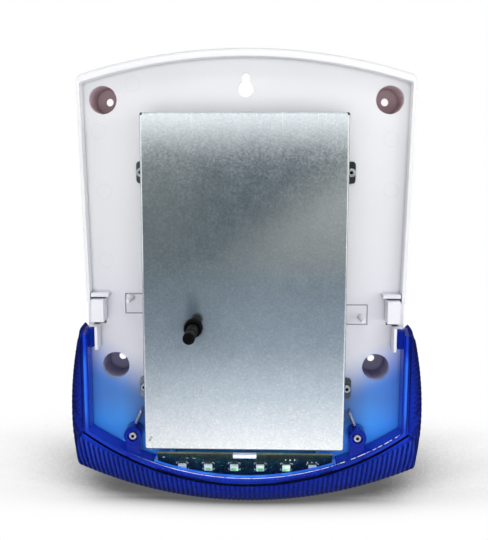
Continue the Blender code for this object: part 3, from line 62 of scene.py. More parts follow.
GAP = 0.0003
MERGE = 1e-6
FLOOR_Y = -0.024
STROBE_SPREAD = math.radians(14.0)
CORNER_SHARE = 0.45
FACETS_FINE = 48
FACETS = 40
FACETS_SCREW = 32
FACETS_HOLE = 20
FACETS_RELIEF = 16

Point = tuple[float, float]
Triple = tuple[float, float, float]
Four = tuple[float, float, float, float]
Range = Four  # low and high end, then the result at each
Colour = Four
Socket = bpy.types.NodeSocket
Paint = Colour | Socket

NOISE_MIDDLE: Point = (0.35, 0.65)
NOISE_BODY: Point = (0.3, 0.7)


class Body(Enum):
    """Bodies of the frame that pieces ride on."""

    HOUSING = "housing"
    PLUNGER = "plunger"


class Slot(Enum):
    """Material slots of the record, named alongside the pieces here."""

    BLUE_LENS = "blue_lens"
    ZINC_STEEL = "zinc_steel"
    SCREW_STEEL = "screw_steel"
    BLACK_RUBBER = "black_rubber"
    SPRING_STEEL = "spring_steel"
    BOARD_GREEN = "board_green"
    LED_WHITE = "led_white"
    SOCKET_WHITE = "socket_white"


class Side(Enum):
    """Left and right of the siren as the viewer sees it."""

    LEFT = -1
    RIGHT = 1


class Cut(Enum):
    """What a tool does to the mesh it meets."""

    ADD = "UNION"
    REMOVE = "DIFFERENCE"


# Mesh helpers


def make_piece(name: str, bm: bmesh.types.BMesh, *materials: bpy.types.Material) -> bpy.types.Object:
    """Turn a bmesh into a linked object with its materials.

    Args:
        name: name of the piece.
        bm: the mesh, which is freed.
        materials: materials in slot order.

    Returns:
        The new object.
    """
    mesh = bpy.data.meshes.new(name)
    bmesh.ops.recalc_face_normals(bm, faces=bm.faces[:])
    bm.to_mesh(mesh)
    bm.free()
    for material in materials:
        mesh.materials.append(material)
    piece = bpy.data.objects.new(name, mesh)
    bpy.context.scene.collection.objects.link(piece)
    return piece


def soften(piece: bpy.types.Object, degrees: float = 32.0) -> bpy.types.Object:
    """Shade a piece smooth, with edges sharper than the angle left crisp.

    Args:
        piece: the object to shade.
        degrees: the angle from which an edge stays crisp.

    Returns:
        The same object.
    """
    mesh = piece.data
    mesh.polygons.foreach_set("use_smooth", [True] * len(mesh.polygons))
    mesh.set_sharp_from_angle(angle=math.radians(degrees))
    return piece


def cut(piece: bpy.types.Object, tools: list[bmesh.types.BMesh], action: Cut) -> None:
    """Add or remove tool bodies and keep the result as the piece's own mesh.

    Args:
        piece: the object that is changed.
        tools: closed bodies, which are freed.
        action: whether the bodies are added or removed.
    """
    holder = bpy.data.collections.new("tools")
    bodies = []
    for tool in tools:
        body = make_piece("tool", tool)
        bpy.context.scene.collection.objects.unlink(body)
        holder.objects.link(body)
        bodies.append(body)
    step = piece.modifiers.new("cut", "BOOLEAN")
    step.operation = action.value
    step.solver = "EXACT"
    step.operand_type = "COLLECTION"
    step.collection = holder
    graph = bpy.context.evaluated_depsgraph_get()
    mesh = bpy.data.meshes.new_from_object(piece.evaluated_get(graph))
    piece.modifiers.clear()
    piece.data = mesh
    for body in bodies:
        bpy.data.objects.remove(body)
    bpy.data.collections.remove(holder)


def add_box(bm: bmesh.types.BMesh, low: Triple, high: Triple, bevel: float = 0.0, steps: int = 2) -> None:
    """Add a box, with rounded edges where a bevel is given.

    Args:
        bm: mesh that gets the box.
        low: lowest corner.
        high: highest corner.
        bevel: radius of the rounded edges.
        steps: facets across a rounded edge.
    """
    low, high = Vector(low), Vector(high)
    size = Matrix.Diagonal((*(high - low), 1.0))
    made = bmesh.ops.create_cube(bm, size=1.0, matrix=Matrix.Translation((low + high) / 2) @ size)
    if bevel:
        edges = list({edge for vert in made["verts"] for edge in vert.link_edges})
        bmesh.ops.bevel(bm, geom=edges, offset=bevel, segments=steps, profile=0.5, affect="EDGES")


def add_loft(bm: bmesh.types.BMesh, rings: list[list[Triple]]) -> None:
    """Skin rings of equal length, with a face at each end.

    Args:
        bm: mesh that gets the skin.
        rings: rings of points in order.
    """
    loops = [[bm.verts.new(point) for point in ring] for ring in rings]
    for near, far in zip(loops, loops[1:]):
        for i, start in enumerate(near):
            j = (i + 1) % len(near)
            bm.faces.new((start, near[j], far[j], far[i]))
    bm.faces.new(loops[0])
    bm.faces.new(loops[-1])


def add_lathe(
    bm: bmesh.types.BMesh, profile: list[Point], x: float, z: float, steps: int = FACETS, closed: bool = False
) -> None:
    """Turn a profile of (radius, y) points round an axis along Y.

    Args:
        bm: mesh that gets the turned body.
        profile: points from one end to the other.
        x: place of the axis.
        z: place of the axis.
        steps: facets round the axis.
        closed: whether the profile is a closed ring.
    """
    rings = []
    for radius, y in profile:
        if radius < MERGE:
            rings.append([bm.verts.new((x, y, z))])
            continue
        turns = [2 * math.pi * i / steps for i in range(steps)]
        rings.append([bm.verts.new((x + radius * math.cos(t), y, z + radius * math.sin(t))) for t in turns])
    pairs = list(zip(rings, rings[1:]))
    if closed:
        pairs.append((rings[-1], rings[0]))
    for near, far in pairs:
        for i in range(steps):
            j = (i + 1) % steps
            ends = (near[i % len(near)], near[j % len(near)], far[j % len(far)], far[i % len(far)])
            corners = list(dict.fromkeys(ends))
            if len(corners) > 2:
                bm.faces.new(corners)


def fillet(points: list[Point], radius: float, steps: int = 4, closed: bool = False) -> list[Point]:
    """Round the corners of a line of points.

    Args:
        points: corners in order.
        radius: how far each corner is cut back.
        steps: facets across a corner.
        closed: whether the last point joins the first.

    Returns:
        The points of the rounded line.
    """
    count = len(points)
    out: list[Point] = []
    for i, here in enumerate(points):
        if not closed and i in (0, count - 1):
            out.append(here)
            continue
        at = Vector(here)
        before = Vector(points[i - 1]) - at
        after = Vector(points[(i + 1) % count]) - at
        reach = min(radius, CORNER_SHARE * before.length, CORNER_SHARE * after.length)
        start = at + before.normalized() * reach
        end = at + after.normalized() * reach
        for step in range(steps + 1):
            t = step / steps
            out.append(tuple(start * (1 - t) ** 2 + at * 2 * t * (1 - t) + end * t * t))
    return out


def arc_drop(radius: float, x: float) -> float:
    """How far a circle of this radius falls away from its crown at x."""
    return radius - math.sqrt(radius * radius - x * x)


def seat(piece: bpy.types.Object, body: Body, slot: Slot, *nodes: str) -> None:
    """Put a finished piece on its body, and let it stand for the nodes it replaces.

    Args:
        piece: the finished piece.
        body: the body that carries it.
        slot: the material slot that its finish belongs to; not used.
        nodes: frame nodes that the piece stands for.
    """
    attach(piece, body.value)
    if nodes:
        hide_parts(*nodes)
    LOG.info("%s rides on %s, %d faces", piece.name, body.value, len(piece.data.polygons))


# Finishes


class Value:
    """A number that a shader works out at each point, for use in plain arithmetic.

    Shares run from 0 to 1: * keeps what lies in both of two shares, and | what lies in either.
    """

    def __init__(self, graph: "Graph", socket: Socket) -> None:
        """Hold the socket that gives the number."""
        self.graph = graph
        self.socket = socket

    def joined(self, kind: str, other: "Value | float" = 0.0) -> "Value":
        """Result of a math node on this number and another."""
        return self.graph.value("Math", {0: self, 1: other}, operation=kind)

    __add__ = partialmethod(joined, "ADD")
    __sub__ = partialmethod(joined, "SUBTRACT")
    __mul__ = partialmethod(joined, "MULTIPLY")
    __truediv__ = partialmethod(joined, "DIVIDE")
    __or__ = partialmethod(joined, "MAXIMUM")
    __abs__ = partialmethod(joined, "ABSOLUTE")
    __lt__ = partialmethod(joined, "LESS_THAN")
    __gt__ = partialmethod(joined, "GREATER_THAN")

    def __rsub__(self, other: float) -> "Value":
        """A plain number less this one."""
        return self.graph.value("Math", {0: other, 1: self}, operation="SUBTRACT")

    def within(self, low: float, high: float) -> "Value":
        """1 between two limits."""
        return (self > low) * (self < high)

    def span(
        self, low: float, high: float, out_low: float = 0.0, out_high: float = 1.0, smooth: bool = False
    ) -> "Value":
        """Map the number from one range to another, held at both ends.

        Args:
            low: start of its own range.
            high: end of its own range, which may be the smaller.
            out_low: result at the start.
            out_high: result at the end.
            smooth: whether the ends are eased.

        Returns:
            The mapped number.
        """
        kind = "SMOOTHSTEP" if smooth else "LINEAR"
        inputs = {"Value": self, 1: low, 2: high, 3: out_low, 4: out_high}
        return self.graph.value("MapRange", inputs, interpolation_type=kind)


class Graph:
    """The node tree of one material while it is being wired."""

    def __init__(self, name: str) -> None:
        """Start an empty material with its output node.

        Args:
            name: name of the material.
        """
        self.material = bpy.data.materials.new(name)
        self.material.use_nodes = True
        self.tree = self.material.node_tree
        self.tree.nodes.clear()
        self.output = self.node("OutputMaterial")
        self.place = self.node("TexCoord").outputs["Object"]

    def node(self, kind: str, inputs: dict | None = None, **settings: object) -> bpy.types.Node:
        """Add a node.

        Args:
            kind: Blender's name of the shader node type, without its prefix.
            inputs: socket names or numbers with a value or an output to link.
            settings: properties of the node.

        Returns:
            The new node.
        """
        made = self.tree.nodes.new(f"ShaderNode{kind}")
        for key, value in settings.items():
            setattr(made, key, value)
        for key, value in (inputs or {}).items():
            source = value.socket if isinstance(value, Value) else value
            if isinstance(source, Socket):
                self.tree.links.new(source, made.inputs[key])
            else:
                made.inputs[key].default_value = source
        return made

    def value(self, kind: str, inputs: dict, output: int | str = 0, **settings: object) -> Value:
        """Add a node and give one of its outputs as a number."""
        return Value(self, self.node(kind, inputs, **settings).outputs[output])

    def stretched(self, scale: Triple, turn: Triple = (0.0, 0.0, 0.0)) -> Socket:
        """Object coordinates stretched and turned for a directional pattern."""
        inputs = {"Vector": self.place, "Scale": scale, "Rotation": turn}
        return self.node("Mapping", inputs).outputs[0]

    def noise(
        self, scale: float, detail: float = 2.0, rough: float = 0.5, place: Socket | None = None
    ) -> Value:
        """Value of a noise pattern; scale is features per metre."""
        inputs = {"Vector": place or self.place, "Scale": scale, "Detail": detail, "Roughness": rough}
        return self.value("TexNoise", inputs, "Fac")

    def grains(self, scale: float, place: Socket, channel: int) -> Value:
        """Random number of each grain of a cell pattern, from one of its colour channels."""
        cells = self.node("TexVoronoi", {"Vector": place, "Scale": scale}).outputs["Color"]
        return self.value("SeparateColor", {0: cells}, channel)

    def mix(self, share: Value | float, first: Paint, second: Paint, blend: str = "MIX") -> Socket:
        """Colour mix of two colours."""
        inputs = {0: share, 6: first, 7: second}
        return self.node("Mix", inputs, data_type="RGBA", blend_type=blend).outputs[2]

    def grey(self, level: Value) -> Socket:
        """Neutral colour of this brightness."""
        return self.node("CombineColor", {0: level, 1: level, 2: level}).outputs[0]

    def ramp(self, value: Value, stops: tuple[tuple[float, Colour], ...]) -> Socket:
        """Colour that runs through stops, of which the first lies at 0 and the last at 1.

        Args:
            value: where along the ramp each point lies.
            stops: places along the ramp with their colours.

        Returns:
            The colour at each point.
        """
        made = self.node("ValToRGB", {0: value})
        marks = made.color_ramp.elements
        marks[0].color, marks[1].color = stops[0][1], stops[-1][1]
        for at, colour in stops[1:-1]:
            marks.new(at).color = colour
        return made.outputs[0]

    def sunk(self, colour: Paint, reach: float, shades: Range) -> Socket:
        """Colour with painted shade in corners, worked out from ambient occlusion.

        Args:
            colour: colour of the open surface.
            reach: how far from a corner it darkens.
            shades: two open shares, and the brightness at each.

        Returns:
            The shaded colour.
        """
        near = self.value("AmbientOcclusion", {"Distance": reach}, "AO", samples=8)
        return self.mix(1.0, colour, self.grey(near.span(*shades)), "MULTIPLY")

    def split(self, vector: Socket) -> tuple[Value, Value, Value]:
        """X, Y and Z of a vector."""
        x, y, z = self.node("SeparateXYZ", {0: vector}).outputs
        return Value(self, x), Value(self, y), Value(self, z)

    def axes(self) -> tuple[Value, Value, Value]:
        """X, Y and Z of the object coordinates."""
        return self.split(self.place)

    def facing(self) -> tuple[Value, Value, Value]:
        """X, Y and Z of the surface's outward direction."""
        return self.split(self.node("NewGeometry").outputs["Normal"])

    def reach(self, x: float, z: float, across: Value) -> Value:
        """Distance from a point of the front view, with the sideways place measured by across."""
        dx, dz = across - x, self.axes()[2] - z
        return (dx * dx + dz * dz).joined("SQRT")

    def bump(self, height: Value, strength: float, distance: float, under: Socket | None = None) -> Socket:
        """Normal of a bump on a height.

        Args:
            height: pattern that stands up.
            strength: how much of it shows.
            distance: height of a full step in metres.
            under: normal that it is laid on.

        Returns:
            The bumped normal.
        """
        inputs = {"Height": height, "Strength": strength, "Distance": distance}
        if under is not None:
            inputs["Normal"] = under
        return self.node("Bump", inputs).outputs[0]

    def surface(self, inputs: dict) -> Socket:
        """Principled shader."""
        return self.node("BsdfPrincipled", inputs).outputs[0]

    def blend(self, share: Value, first: Socket, second: Socket) -> Socket:
        """Shader mix of two shaders."""
        return self.node("MixShader", {0: share, 1: first, 2: second}).outputs[0]

    def done(self, shader: Socket) -> bpy.types.Material:
        """Wire a shader to the output, and give the finished material."""
        self.tree.links.new(shader, self.output.inputs[0])
        return self.material


def tone(red: float, green: float, blue: float) -> Colour:
    """Linear colour with full alpha."""
    return (red, green, blue, 1.0)


@dataclass(frozen=True)
class WhitePlastic:
    """Satin white moulding: fine spark texture, flow marks, the lens's blue light painted on the floor near
    it, and painted shade in corners, inside the wells, in the clip gaps and on the brace struts.
    """

    pale: Colour = tone(0.83, 0.83, 0.85)
    deep: Colour = tone(0.80, 0.80, 0.825)
    # faintly bluer and darker lower down
    blush: Colour = tone(0.985, 0.985, 1.03)
    blush_heights: Point = (0.03, -0.06)
    # painted blue light that the lens throws on the tray floor, and painted shade of it beside the steel
    # cover
    cast: Colour = tone(0.055, 0.235, 0.68)
    cast_low: Colour = tone(0.036, 0.34, 0.95)
    cast_dim: Colour = tone(0.07, 0.11, 0.25)
    cast_heights: Point = (-0.066, -0.100)
    cast_low_heights: Point = (-0.104, -0.122)
    cast_depths: Point = (-0.0262, -0.0255)
    cast_lean: Point = (0.083, 0.5)
    floor_depths: Point = (-0.0236, -0.0230)
    foot_heights: Point = (-0.1265, -0.1275)
    floor_back: float = -0.0222
    turned_back: float = 0.3
    near_cover: Point = (0.061, 0.080)
    dim_heights: Point = (-0.126, -0.118)
    dim_share: float = 0.85
    # painted shade on the brace struts beside the lens bosses
    brace: Colour = tone(0.22, 0.24, 0.34)
    brace_front: float = -0.0258
    brace_top: float = -0.0980
    brace_reach: float = 0.079
    # painted shadow in the gaps under the clip blocks
    slit: Colour = tone(0.09, 0.085, 0.08)
    slit_across: Point = (0.0888, 0.0960)
    slit_heights: Point = (-0.0560, -0.0531)
    slit_front: float = -0.0300
    well_radius: float = 0.0092
    well_depths: Point = (-0.0236, -0.0200)
    # painted shade inside the fixing wells, deeper in the lower pair
    wells: tuple[tuple[float, float, Colour], ...] = (
        (0.0878, 0.0836, tone(0.84, 0.66, 0.68)),
        (0.0832, -0.0836, tone(0.44, 0.42, 0.58)),
    )
    edge: float = 0.0005
    corner: float = 0.003
    corner_shades: Range = (0.30, 0.80, 0.55, 1.0)
    ejector: Colour = tone(0.90, 0.90, 0.91)
    ejector_radius: float = 0.0045
    ejector_line: Point = (0.0001, 0.0005)
    ejectors: tuple[Point, ...] = (
        (-0.0692, 0.0933),
        (-0.0909, 0.0645),
        (-0.0882, 0.0277),
        (-0.0881, -0.0156),
        (0.0892, 0.0599),
        (0.0900, 0.0288),
    )

    def blue_cast(self, g: Graph) -> Value:
        """Share of the painted blue light from the lens: the floor below the wells, sooner near the lens, and
        the lower end.

        Args:
            g: the graph that is being wired.

        Returns:
            The share at each point.
        """
        x, depth, height = g.axes()
        start, slope = self.cast_lean
        floor = depth.span(*self.cast_depths) * depth.span(*self.floor_depths, 1.0, 0.0)
        low = (height - (abs(x) - start) * slope).span(*self.cast_heights, smooth=True) * floor
        _, inward, upward = g.facing()
        hidden = ((inward | upward) > self.turned_back) * (depth > self.floor_back)
        return low | (height.span(*self.foot_heights) - hidden)

    def braces(self, g: Graph) -> Value:
        """1 where painted shade lies on the brace struts beside the lens bosses."""
        x, depth, height = g.axes()
        return (depth < self.brace_front) * (height < self.brace_top) * (abs(x) < self.brace_reach)

    def slits(self, g: Graph) -> Value:
        """1 where painted shadow fills the gaps between the clip blocks and the ledges under them.

        Args:
            g: the graph that is being wired.

        Returns:
            1 in the painted shadow and 0 elsewhere.
        """
        x, depth, height = g.axes()
        shadow_gap = abs(x).within(*self.slit_across) * height.within(*self.slit_heights)
        return shadow_gap * (depth > self.slit_front)

    def ejector_rings(self, g: Graph) -> Value:
        """Share of the faint round ejector marks on the tray floor.

        Args:
            g: the graph that is being wired.

        Returns:
            The share at each point.
        """
        x = g.axes()[0]
        edges = [abs(g.reach(mark_x, mark_z, x) - self.ejector_radius) for mark_x, mark_z in self.ejectors]
        return reduce(or_, [edge.span(*self.ejector_line, 0.5, 0.0) for edge in edges])

    def in_well(self, g: Graph, well_x: float, well_z: float) -> Value:
        """How deep a point is inside a fixing well.

        Args:
            g: the graph that is being wired.
            well_x: place of the well to either side.
            well_z: height of the well.

        Returns:
            0 outside the well, rising to 1 inside it.
        """
        x, depth, _ = g.axes()
        inside = (g.reach(well_x, well_z, abs(x)) < self.well_radius) * (g.facing()[1] < self.turned_back)
        return inside * depth.span(*self.well_depths)

    def cast_colour(self, g: Graph) -> Socket:
        """Colour of the painted blue light from the lens, brighter low down, with painted shade beside the
        steel cover.

        Args:
            g: the graph that is being wired.

        Returns:
            The colour at each point.
        """
        x, _, height = g.axes()
        dim = abs(x).span(*self.near_cover, self.dim_share, 0.0) * height.span(*self.dim_heights)
        bright = g.mix(height.span(*self.cast_low_heights), self.cast, self.cast_low)
        return g.mix(dim, bright, self.cast_dim)

    def make(self) -> bpy.types.Material:
        """Wire the material.

        Returns:
            The finished material.
        """
        g = Graph("white_plastic")
        colour = g.mix(g.noise(14.0, 3.0).span(*NOISE_MIDDLE), self.pale, self.deep)
        # faintly bluer and darker lower down
        lower_share = g.axes()[2].span(*self.blush_heights, smooth=True)
        colour = g.mix(lower_share, colour, self.blush, "MULTIPLY")
        colour = g.mix(self.ejector_rings(g), colour, self.ejector, "MULTIPLY")
        # painted shade on the brace struts
        colour = g.mix(self.braces(g), colour, self.brace)
        # painted blue light from the lens on the tray floor
        colour = g.mix(self.blue_cast(g), colour, self.cast_colour(g))
        # painted shade inside the fixing wells
        for well_x, well_z, well_shade in self.wells:
            colour = g.mix(self.in_well(g, well_x, well_z), colour, well_shade, "MULTIPLY")
        # painted shadow in the gaps under the clip blocks
        colour = g.mix(self.slits(g), colour, self.slit)
        # painted shade in corners
        colour = g.sunk(colour, self.corner, self.corner_shades)
        rough = g.noise(60.0).span(*NOISE_BODY, 0.40, 0.52)
        bevel = g.node("Bevel", {"Radius": self.edge}, samples=4).outputs[0]
        normal = g.bump(g.noise(2600.0), 0.12, 0.00012, bevel)
        return g.done(g.surface({"Base Color": colour, "Roughness": rough, "Normal": normal}))


@dataclass(frozen=True)
class BluePlastic:
    """Clear blue lens moulding: dark where the light has far to go, with painted bright edge light that glows
    faintly, and painted highlights and shade.
    """

    depths: tuple[tuple[float, Colour], ...] = (
        (0.0, tone(0.014, 0.070, 0.74)),
        (0.45, tone(0.009, 0.040, 0.52)),
        (0.75, tone(0.004, 0.014, 0.24)),
        (0.91, tone(0.001, 0.003, 0.05)),
        (1.0, tone(0.001, 0.003, 0.04)),
    )
    mirror: Colour = tone(0.10, 0.20, 0.72)
    passed: Colour = tone(0.30, 0.55, 0.93)
    clear: float = 0.80
    cloudy: float = 0.70
    coat: float = 0.15
    coat_heights: Point = (-0.078, -0.070)
    rim_curve: float = 0.35
    rim_level: float = -0.1495
    # painted edge light on the thin edges, which also glows faintly though it is no lamp
    edge: Colour = tone(0.05, 0.36, 0.95)
    glow: Colour = tone(0.01, 0.12, 0.95)
    glow_strength: float = 0.30
    lip_depths: Point = (-0.0366, -0.0360)
    lip_heights: Point = (-0.1562, -0.1559)
    lip_half: float = 0.0580
    line_x: float = 0.1008
    line_spread: Point = (0.0004, 0.0020)
    line_share: float = 0.50
    line_depths: Point = (-0.0362, -0.0368)
    line_top: Point = (-0.068, -0.080)
    line_foot: Point = (-0.126, -0.108)
    # painted highlight along the crest of the lower rim
    ridge: Colour = tone(0.86, 0.83, 0.82)
    crest_from: Point = (0.36, 0.44)
    crest_to: Point = (0.68, 0.76)
    crest_depths: Point = (-0.0358, -0.0362)
    crest_start: Point = (-0.075, -0.045)
    crest_breaks: Point = (0.045, 0.060)
    # painted shade: the line under the lip, and the arms' outer sides seen edge-on
    outline: Colour = tone(0.002, 0.005, 0.070)
    outline_turn: Range = (0.66, 0.88, 0.0, 0.85)
    outline_across: Point = (0.104, 0.107)
    dark_turn: Range = (0.74, 0.82, 0.0, 0.85)
    dark_depths: Point = (-0.0364, -0.0368)
    # painted shade on the inner walls
    deep: Colour = tone(0.010, 0.034, 0.50)
    wall_turn: Point = (-0.75, -0.35)
    wall_across: Point = (0.0860, 0.0992)
    wall_low: float = 0.0590
    wall_foot: float = -0.1560
    wall_front: float = -0.0371
    pitch: float = 0.1038 / 33
    band_curve: float = 0.36
    band_top: float = -0.1604
    band_front: float = -0.0352
    # painted highlight on the reeds' crests
    lobe: Colour = tone(0.060, 0.125, 0.80)
    lobe_width: Point = (0.22, 0.42)
    lobe_across: Range = (0.015, 0.070, 0.30, 0.80)
    # painted shade between the reeds and in the groove along the arms
    valley: Colour = tone(0.009, 0.014, 0.090)
    valley_width: Range = (0.04, 0.24, 0.75, 0.0)
    groove_in: Range = (0.1020, 0.1026, 0.0, 0.7)
    groove_out: Point = (0.1037, 0.1043)
    groove_foot: Point = (-0.124, -0.118)
    groove_front: float = -0.0325

    def rim_line(self, g: Graph) -> Value:
        """Height measured from the curve of the lower rim."""
        x, _, height = g.axes()
        return height - x * x / self.rim_curve

    def thin_edges(self, g: Graph) -> Value:
        """Share of the painted bright edge light: the lip over the strobe board and a line along each arm.

        Args:
            g: the graph that is being wired.

        Returns:
            The share at each point.
        """
        x, depth, height = g.axes()
        lip = depth.span(*self.lip_depths) * self.rim_line(g).span(*self.lip_heights)
        line = abs(abs(x) - self.line_x).span(*self.line_spread, self.line_share, 0.0)
        line = line * depth.span(*self.line_depths)
        line = line * height.span(*self.line_top, smooth=True) * height.span(*self.line_foot, smooth=True)
        return lip * (abs(x) < self.lip_half) | line

    def polished_ridge(self, g: Graph) -> Value:
        """Share of the painted highlight line along the crest of the lower rim, broken towards the right.

        Args:
            g: the graph that is being wired.

        Returns:
            The share at each point.
        """
        x, depth, _ = g.axes()
        upward = g.facing()[2]
        crest = upward.span(*self.crest_from) * upward.span(*self.crest_to, 1.0, 0.0)
        crest = crest * (self.rim_line(g) < self.rim_level) * depth.span(*self.crest_depths)
        scraps = g.noise(420.0)
        broken = scraps.span(0.46, 0.54) | x.span(*self.crest_breaks, 1.0, 0.0)
        return crest * scraps.span(0.30, 0.50, 0.55, 1.0) * broken * x.span(*self.crest_start)

    def dark_line(self, g: Graph) -> Value:
        """Share of the painted shade line between the bright lip and the crest's painted highlight."""
        above = g.facing()[2].span(*self.dark_turn) * g.axes()[1].span(*self.dark_depths)
        return above * (self.rim_line(g) < self.rim_level)

    def inner_walls(self, g: Graph) -> Value:
        """Share of the painted shade, a deep blue, on the walls that stand on the tray floor.

        Args:
            g: the graph that is being wired.

        Returns:
            The share at each point.
        """
        x, depth, _ = g.axes()
        line = self.rim_line(g)
        low = (line < self.rim_level) * (abs(x) > self.wall_low)
        walls = (abs(x).within(*self.wall_across) | low) * (line > self.wall_foot)
        return walls * g.facing()[1].span(*self.wall_turn) * (depth > self.wall_front)

    def reed_phase(self, g: Graph) -> tuple[Value, Value]:
        """Distance from the nearest valley of the lower band in pitches, and 1 on that band.

        Args:
            g: the graph that is being wired.

        Returns:
            The distance and the band at each point.
        """
        x, depth, height = g.axes()
        away = abs((abs(x) / self.pitch + 0.5).joined("FRACT") - 0.5)
        return away, (height - x * x / self.band_curve < self.band_top) * (depth > self.band_front)

    def lobes(self, g: Graph) -> Value:
        """Share of the painted highlight on the reeds' crests, strongest towards the corners."""
        away, band = self.reed_phase(g)
        return away.span(*self.lobe_width, smooth=True) * band * abs(g.axes()[0]).span(*self.lobe_across)

    def valleys(self, g: Graph) -> Value:
        """Share of the painted shade between the lower band's reeds and in the groove along the arms.

        Args:
            g: the graph that is being wired.

        Returns:
            The share at each point.
        """
        x, depth, height = g.axes()
        away, band = self.reed_phase(g)
        groove = abs(x).span(*self.groove_in) * abs(x).span(*self.groove_out, 1.0, 0.0)
        groove = groove * height.span(*self.groove_foot) * (depth < self.groove_front)
        return away.span(*self.valley_width, smooth=True) * band | groove

    def make(self) -> bpy.types.Material:
        """Wire the material.

        Returns:
            The finished material.
        """
        g = Graph("blue_lens")
        x, _, height = g.axes()
        turn = g.value("LayerWeight", {0: 0.5}, "Facing")
        streak = g.noise(40.0, place=g.stretched((1.0, 3.0, 1.0))).span(*NOISE_MIDDLE, -0.05, 0.05)
        walls, edges, ridge = self.inner_walls(g), self.thin_edges(g), self.polished_ridge(g)
        # painted shade on the inner walls
        colour = g.mix(walls, g.ramp(turn + streak, self.depths), self.deep)
        colour = g.mix(edges, colour, self.edge)
        # painted highlight on the reeds' crests
        colour = g.mix(self.lobes(g), colour, self.lobe)
        # painted shade between the reeds and in the groove
        colour = g.mix(self.valleys(g), colour, self.valley)
        # painted shade line under the lip
        colour = g.mix(self.dark_line(g), colour, self.outline)
        # painted highlight along the rim's crest
        colour = g.mix(ridge, colour, self.ridge)
        solid = ridge | (walls | edges) * self.cloudy
        shell = g.surface(
            {
                "Base Color": colour,
                "Roughness": g.noise(90.0).span(*NOISE_BODY, 0.04, 0.09),
                "IOR": 1.38,
                "Specular IOR Level": 0.30,
                "Specular Tint": self.mirror,
                "Transmission Weight": solid.span(0.0, 1.0, self.clear, 0.0),
                "Coat Weight": height.span(*self.coat_heights, self.coat, 0.0),
                "Coat Roughness": 0.03,
                # the painted edge light also glows faintly
                "Emission Color": self.glow,
                "Emission Strength": edges * self.glow_strength,
            }
        )
        # painted shade on the arms' outer sides, darker where they are seen edge-on
        dark = g.node("BsdfDiffuse", {0: self.outline}).outputs[0]
        edged = g.blend(turn.span(*self.outline_turn) * abs(x).span(*self.outline_across), shell, dark)
        lamp_rays = g.value("LightPath", {}, "Is Shadow Ray")
        through = g.node("BsdfTransparent", {0: self.passed}).outputs[0]
        return g.done(g.blend(lamp_rays, edged, through))


@dataclass(frozen=True)
class ZincSteel:
    """Zinc-coated sheet: fine spangle, rolling streaks, small bright scratches, a scuff, painted shade in
    corners and on the tabs, and a painted dark reflection of the plunger.
    """

    dark: Colour = tone(0.66, 0.71, 0.745)
    light: Colour = tone(0.80, 0.845, 0.875)
    bright: Colour = tone(0.93, 0.94, 0.95)
    # painted dark reflection of the plunger, painted shade on the tabs, and the scuff mark
    dull: Colour = tone(0.20, 0.24, 0.27)
    shaded: Colour = tone(0.02, 0.03, 0.03)
    grain_share: float = 0.42
    blotch_share: float = 0.65
    spangle: Point = (0.25, 0.85)
    fleck_heights: Range = (0.03, -0.07, 0.35, 1.0)
    corner: float = 0.02
    corner_shades: Range = (0.45, 0.95, 0.25, 1.0)
    plunger: Point = (-0.0304, -0.0523)
    smear_width: Range = (0.001, 0.0065, 0.55, 0.0)
    smear_rise: Range = (0.010, 0.026, 1.0, 0.0)
    scuff: Point = (-0.0572, -0.1217)
    scuff_slope: float = 0.5
    scuff_width: Range = (0.0004, 0.0010, 0.9, 0.0)
    scuff_length: Range = (0.0012, 0.0021, 1.0, 0.0)
    tab_depths: Range = (-0.034, -0.027, 0.0, 0.85)
    shade_depths: Range = (-0.030, -0.027, 0.0, 0.75)

    def rubbed(self, g: Graph) -> Value:
        """Share of the painted dark reflection of the plunger above it, the scuff in the lower corner and the
        painted shade on the tabs.

        Args:
            g: the graph that is being wired.

        Returns:
            The share at each point.
        """
        x, depth, height = g.axes()
        beside, above = abs(x - self.plunger[0]), height - self.plunger[1]
        # painted dark reflection of the plunger above it
        plunger_reflection = beside.span(*self.smear_width, True) * above.span(*self.smear_rise, True) * (above > 0.0)
        dx, dz = x - self.scuff[0], height - self.scuff[1]
        scuff = abs(dx - dz * self.scuff_slope).span(*self.scuff_width) * abs(dz).span(*self.scuff_length)
        scuff = scuff * g.noise(1500.0).span(0.40, 0.55, 0.2, 1.0)
        return plunger_reflection | scuff | depth.span(*self.tab_depths)

    def shaded_tabs(self, g: Graph) -> Value:
        """Share of the shade on the right-hand tabs."""
        x, depth, _ = g.axes()
        return (x > 0.0) * depth.span(*self.shade_depths)

    def make(self) -> bpy.types.Material:
        """Wire the material.

        Returns:
            The finished material.
        """
        g = Graph("zinc_steel")
        warp = g.node("TexNoise", {"Vector": g.place, "Scale": 500.0, "Detail": 2.0})
        bent = g.mix(0.0012, g.place, warp.outputs["Color"], "ADD")
        pattern = g.grains(1100.0, bent, 0) * self.grain_share + g.noise(120.0, 3.0, 0.6) * self.blotch_share
        colour = g.mix(pattern.span(*self.spangle), self.dark, self.light)
        lines = g.noise(900.0, 1.0, place=g.stretched((1.0, 1.0, 0.04), (0.0, 0.5, 0.0)))
        flecks = g.grains(1000.0, bent, 1).span(0.86, 0.96, 0.0, 0.58) * g.axes()[2].span(*self.fleck_heights)
        colour = g.mix(lines.span(0.70, 0.74, 0.0, 0.35) | flecks, colour, self.bright)
        # painted shade in corners
        colour = g.sunk(colour, self.corner, self.corner_shades)
        # painted dark reflection of the plunger, painted shade on the tabs, and the scuff mark
        colour = g.mix(self.rubbed(g), colour, self.dull)
        colour = g.mix(self.shaded_tabs(g), colour, self.shaded)
        inputs = {
            "Base Color": colour,
            "Metallic": 1.0,
            "Roughness": pattern.span(*self.spangle, 0.09, 0.15),
            "Normal": g.bump(pattern, 0.04, 0.0001),
        }
        return g.done(g.surface(inputs))


